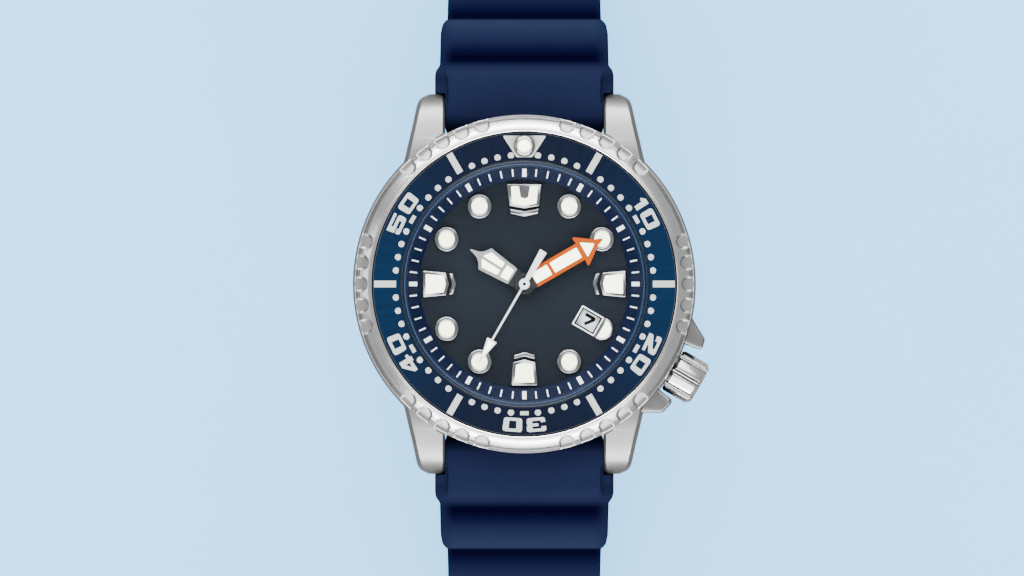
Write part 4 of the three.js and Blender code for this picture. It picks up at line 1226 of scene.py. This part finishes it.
def block_corners(half, inner, low, shoulder, top):
    """A cross-section with a raised middle between two shoulders."""
    return [(half, low), (half, shoulder), (inner, shoulder), (inner, top), (-inner, top),
            (-inner, shoulder), (-half, shoulder), (-half, low)]


def strap_section(s, half, up, down, edge_y):
    """One cross-section with rounded corners; beside the block the wings stand lower than its face."""
    y, z, slope = strap_path(s)
    drop = smooth_table([(23.0, 0.02), (24.0, 1.1), (25.8, 1.05), (27.6, 0.02)], edge_y)
    inner = smooth_table([(23.2, half - 0.27), (24.2, WING_INNER - 0.25), (26.2, WING_INNER - 0.2),
                          (27.8, half - 1.2)], edge_y)
    r = min(0.8, (up + down) / 2 - 0.1)
    soft = smooth_table([(23.2, 0.12), (24.2, 0.3), (25.2, 0.6), (27.6, r)], edge_y)
    corners = block_corners(half, inner, -down, up - drop, up)
    low = min(0.45, r)
    outline = rounded(corners, [low, soft, 0.02, 0.45, 0.45, 0.02, soft, low], 5)
    face = []
    for x, h in outline:
        if h > up - 0.05:
            h -= 0.1 * (x / 10) ** 2
        face.append((x, y + h * math.sin(slope), z + h * math.cos(slope)))
    return face


def build_half(end_y, bottom, tail, name):
    """One strap half, drawn towards twelve o'clock; bottom gives its depth and tail its last widths."""
    total = DOWN_LEN + BACK_LEN + end_y - FLAT_Y
    sections = []
    # the rounded end about the spring bar
    for k in range(0, 13):
        a = math.radians(90 + 7.5 * k)
        reach = END_R * math.cos(a)
        y = BAR_Y + reach
        high = math.sqrt(max(0.01, END_R**2 - reach**2))
        half = lerp_table(HALF, y)
        r = min(0.45, high * 0.9)
        corners = block_corners(half, half - 0.27, -high, high - 0.02, high)
        ring = rounded(corners, [r, min(0.12, r), 0.02, r, r, 0.02, min(0.12, r), r], 5)
        sections.insert(0, [(x, y, BAR_Z + h) for x, h in ring])
    s = 0.6
    lengths = []
    while s < total:
        lengths.append(s)
        s += 0.22 if s < 34 else 0.8
    lengths.append(total)
    for s in lengths:
        y, z, slope = strap_path(s)
        up = ridge_height(y + 2.3 * math.sin(slope))
        blend = min(1, s / 2.0)
        up = END_R + (up - END_R) * blend
        down = END_R + (bottom(y) - END_R) * blend
        edge_y = y + up * math.sin(slope) * 0.9
        sections.append(strap_section(s, lerp_table(HALF + tail, edge_y), up, down, edge_y))
    verts, faces = loft(sections)
    return make(name, verts, faces, M["strap"])


BUCKLE_Z = -13.2
SHORT_TAIL = [(88, 9.0), (SHORT_END, 9.0)]
LONG_TAIL = [(133, 9.0), (137, 8.3), (139.8, 6.4), (141.0, 3.6), (141.4, 1.2)]


def short_depth(y):
    """Depth of the short half below its centre line; it thins before the buckle."""
    return 1.8 - 1.2 * ease((y - 61) / (67 - 61))


short = build_half(SHORT_END, short_depth, SHORT_TAIL, "strap_short_half")
cut(short, make("loop", *bar_x(1.9, -9, 9, SHORT_END, BUCKLE_Z), M["strap"]), "UNION")
cut(short, make("loop_hole", *bar_x(0.9, -12, 12, SHORT_END, BUCKLE_Z), M["strap"]))
cut(short, make("slot", *box_shape(-1.7, 1.7, SHORT_END - 2.6, SHORT_END + 5, -20, 0), M["strap"]))
long = build_half(LONG_END, lambda y: 1.8, LONG_TAIL, "strap_long_half")
for i in range(8):
    y = 86 + i * 6.5
    hole = [(x + (0.5 if x > 0 else -0.5), yy) for x, yy in disc_outline(1.1, 32, (0.0001, y))]
    cut(long, make("hole", *prism(hole, -20, 0), M["strap"]))
for obj in (short, long):
    cut(obj, make("bar_hole", *bar_x(1.0, -14, 14, BAR_Y, BAR_Z), M["strap"]))
    for side in (-1, 1):
        ends = sorted((side * 10.19, side * 14.19))
        cut(obj, make("swing", *bar_x(3.12, *ends, BAR_Y, BAR_Z, 72), M["strap"]))
    shade(obj, 38)
for v in long.data.vertices:
    v.co.x, v.co.y = -v.co.x, -v.co.y
place(short, "strap_short", ["strap_short"], "strap")
place(long, "strap_long", ["strap_long"], "strap")

# ---------------------------------------------------------------- keepers and buckle


def keeper(name, y0, y1, body, node):
    """A closed band round the strap, with its edges drawn in a little at both ends."""
    outer = rounded([(10.4, -15.4), (10.4, -7.8), (-10.4, -7.8), (-10.4, -15.4)], [0.5, 1.2, 1.2, 0.5], 6)
    inner = rounded([(9.2, -14.35), (9.2, -8.8), (-9.2, -8.8), (-9.2, -14.35)], [0.3, 0.7, 0.7, 0.3], 6)
    ends = [(y0, 0.25), (y0 + 0.12, 0.08), (y0 + 0.35, 0), (y1 - 0.35, 0), (y1 - 0.12, 0.08), (y1, 0.25)]
    rings = [(y, inset(outer, k)) for y, k in ends] + [(y, inset(inner, -k * 0.6)) for y, k in reversed(ends)]
    band = loft([[(x, y, z) for x, z in ring] for y, ring in rings], closed=True)
    make(name, *band, M["strap"], None, 40, body, [node], "strap")


keeper("keeper_fixed_loop", 83.2, 88.2, "strap_short", "keeper_fixed")
keeper("keeper_free_loop", 71.5, 76.5, "keeper", "keeper_free")

near = SHORT_END - 1.5
outline = [(9.7, near), (12.2, near), (12.2, 104), (-12.2, 104), (-12.2, near), (-9.7, near), (-9.7, 101),
           (9.7, 101)]
outline = rounded(outline, [0.8, 0.8, 2.6, 2.6, 0.8, 0.8, 1.6, 1.6], 6)
frame_obj = make("buckle_loop", *prism(outline, -14.4, -12.0, 0.5, 3, both=True), M["brushed_x"])
cut(frame_obj, make("eye", *bar_x(0.85, -11.6, 11.6, SHORT_END, BUCKLE_Z), M["brushed_x"]))
shade(frame_obj)
place(frame_obj, "buckle", ["buckle_frame"], "buckle_steel")

TANG_FROM, TANG_LONG = 91.0, 12.7
TANG_TOP = [(91.0, -11.78), (92.2, -11.75), (95, -11.4), (100, -10.8), (102.6, -10.72), (103.4, -11.05),
            (103.7, -11.4)]
TANG_LOW = [(91.0, -12.3), (92.6, -12.9), (95, -12.6), (101, -11.93), (103.4, -11.9), (103.7, -11.6)]
sections = []
for i in range(41):
    y = TANG_FROM + TANG_LONG * i / 40
    top, low = lerp_table(TANG_TOP, y), lerp_table(TANG_LOW, y)
    half = 1.1 if y < 101.5 else 1.1 - 0.35 * ((y - 101.5) / 2.2) ** 2
    r = max(0.03, min(0.3, (top - low) * 0.4))
    corners = [(half, low), (half, top), (-half, top), (-half, low)]
    sections.append([(x, y, z) for x, z in rounded(corners, r, 3)])
tang = make("tang_prong", *loft(sections), M["brushed_y"])
cut(tang, make("tang_hub", *bar_x(1.45, -1.35, 1.35, SHORT_END, BUCKLE_Z, 48), M["brushed_y"]), "UNION")
cut(tang, make("tang_bore", *bar_x(0.85, -3, 3, SHORT_END, BUCKLE_Z), M["brushed_y"]))
shade(tang)
soften(tang, 0.08)
place(tang, "tang", ["buckle_tang"], "buckle_steel")

# ---------------------------------------------------------------- materials of the CAD pieces that stay

KEPT = {
    "gasket": ["case_back_gasket", "bezel_gasket", "crown_gasket"],
    "plastic": ["movement_ring", "fifth_wheel"],
    "cell_film": ["solar_cell"],
    "brushed": ["bezel_click_spring", "crown_tube", "crown_stem", "stator", "quartz_can", "storage_cell",
                "cell_clamp", "rotor"],
    "brushed_x": ["spring_bar_12", "spring_bar_6", "spring_tip_12_left", "spring_tip_12_right",
                  "spring_tip_6_left", "spring_tip_6_right", "buckle_bar"],
    "plate": ["main_plate", "train_bridge"],
    "board": ["circuit_board"],
    "copper": ["coil"],
    "brass": ["clutch_wheel", "hour_wheel", "cannon_pinion", "minute_wheel", "fourth_wheel", "third_wheel",
              "centre_wheel"],
}
for key, nodes in KEPT.items():
    for node in nodes:
        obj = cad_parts[node]
        obj.data.materials.clear()
        obj.data.materials.append(M[key])

# ---------------------------------------------------------------- floor, light and camera

FLOOR_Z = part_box("strap_long")[0][2] - 0.00002
FLOOR_TONE = (0.155, 0.415, 0.715)
FLOOR_GLOW = 0.55


def build_floor():
    """A pale sheet: the camera sees its own blue, and the watch is lit by it as by a neutral grey."""
    bm = bmesh.new()
    bmesh.ops.create_grid(bm, x_segments=1, y_segments=1, size=4.0)
    mesh = bpy.data.meshes.new("floor")
    bm.to_mesh(mesh)
    bm.free()
    floor = bpy.data.objects.new("floor", mesh)
    floor.location.z = FLOOR_Z
    bpy.context.scene.collection.objects.link(floor)
    n = Nodes("pale_floor")
    shades = [tuple(c * k for c in FLOOR_TONE) + (1,) for k in (0.455, 0.465)]
    n.link(n.mix(n.ramp(n.noise(n.coords("plain", 1, 40)), 0, 1), *shades), n.bsdf.inputs["Base Color"])
    n.bsdf.inputs["Roughness"].default_value = 0.9
    n.bsdf.inputs["Specular IOR Level"].default_value = 0.0
    n.bsdf.inputs["Emission Color"].default_value = (0.848, 2.29, 4.0, 1)
    n.bsdf.inputs["Emission Strength"].default_value = FLOOR_GLOW
    neutral = n.add("ShaderNodeBsdfDiffuse", Color=(0.22, 0.22, 0.22, 1))
    path = n.add("ShaderNodeLightPath")
    n.show(n.mix_shader(path.outputs["Is Camera Ray"], neutral, n.bsdf))
    mesh.materials.append(n.mat)
    return floor


floor = build_floor()

world = bpy.data.worlds.new("studio")
world.use_nodes = True
background = world.node_tree.nodes["Background"]
background.inputs[0].default_value = (1, 1, 1, 1)
background.inputs[1].default_value = 0.9
bpy.context.scene.world = world


def softbox(name, place_m, size, radiance):
    """A rectangular lamp aimed at the watch."""
    light = bpy.data.lights.new(name, "AREA")
    light.shape = "RECTANGLE"
    light.size, light.size_y = size
    light.energy = radiance * math.pi * size[0] * size[1]
    obj = bpy.data.objects.new(name, light)
    obj.location = place_m
    obj.rotation_euler = (Vector((0, 0, 0)) - Vector(place_m)).to_track_quat("-Z", "Y").to_euler()
    bpy.context.scene.collection.objects.link(obj)


softbox("box_top", (0.0, 0.74, 0.74), (1.35, 1.0), 8.6)
softbox("box_low", (0.0, -0.74, 0.74), (1.35, 1.0), 8.2)
softbox("strip_top", (-0.15, 1.0, 0.46), (1.5, 0.2), 26)
softbox("strip_low", (-0.1, -1.0, 0.46), (1.5, 0.2), 25)
softbox("box_left", (-1.0, 0.1, 0.45), (0.5, 0.35), 3.5)

# the camera looks straight down; the photo is 1024 pixels wide at SCALE_MM each, on the watch's face
PHOTO_WIDE, SENSOR = 1024, 36
CAMERA_HEIGHT, FACE_HEIGHT = 0.95, 0.009
SCALE_MM = 0.128
camera_data = bpy.data.cameras.new("camera")
camera = bpy.data.objects.new("camera", camera_data)
camera.location = (-12.4 * SCALE_MM * MM, -4.0 * SCALE_MM * MM, CAMERA_HEIGHT)
camera_data.sensor_width = SENSOR
camera_data.lens = SENSOR * (CAMERA_HEIGHT - FACE_HEIGHT) / (PHOTO_WIDE * SCALE_MM * MM)
camera_data.clip_start, camera_data.clip_end = 0.01, 20
bpy.context.scene.collection.objects.link(camera)
bpy.context.scene.camera = camera
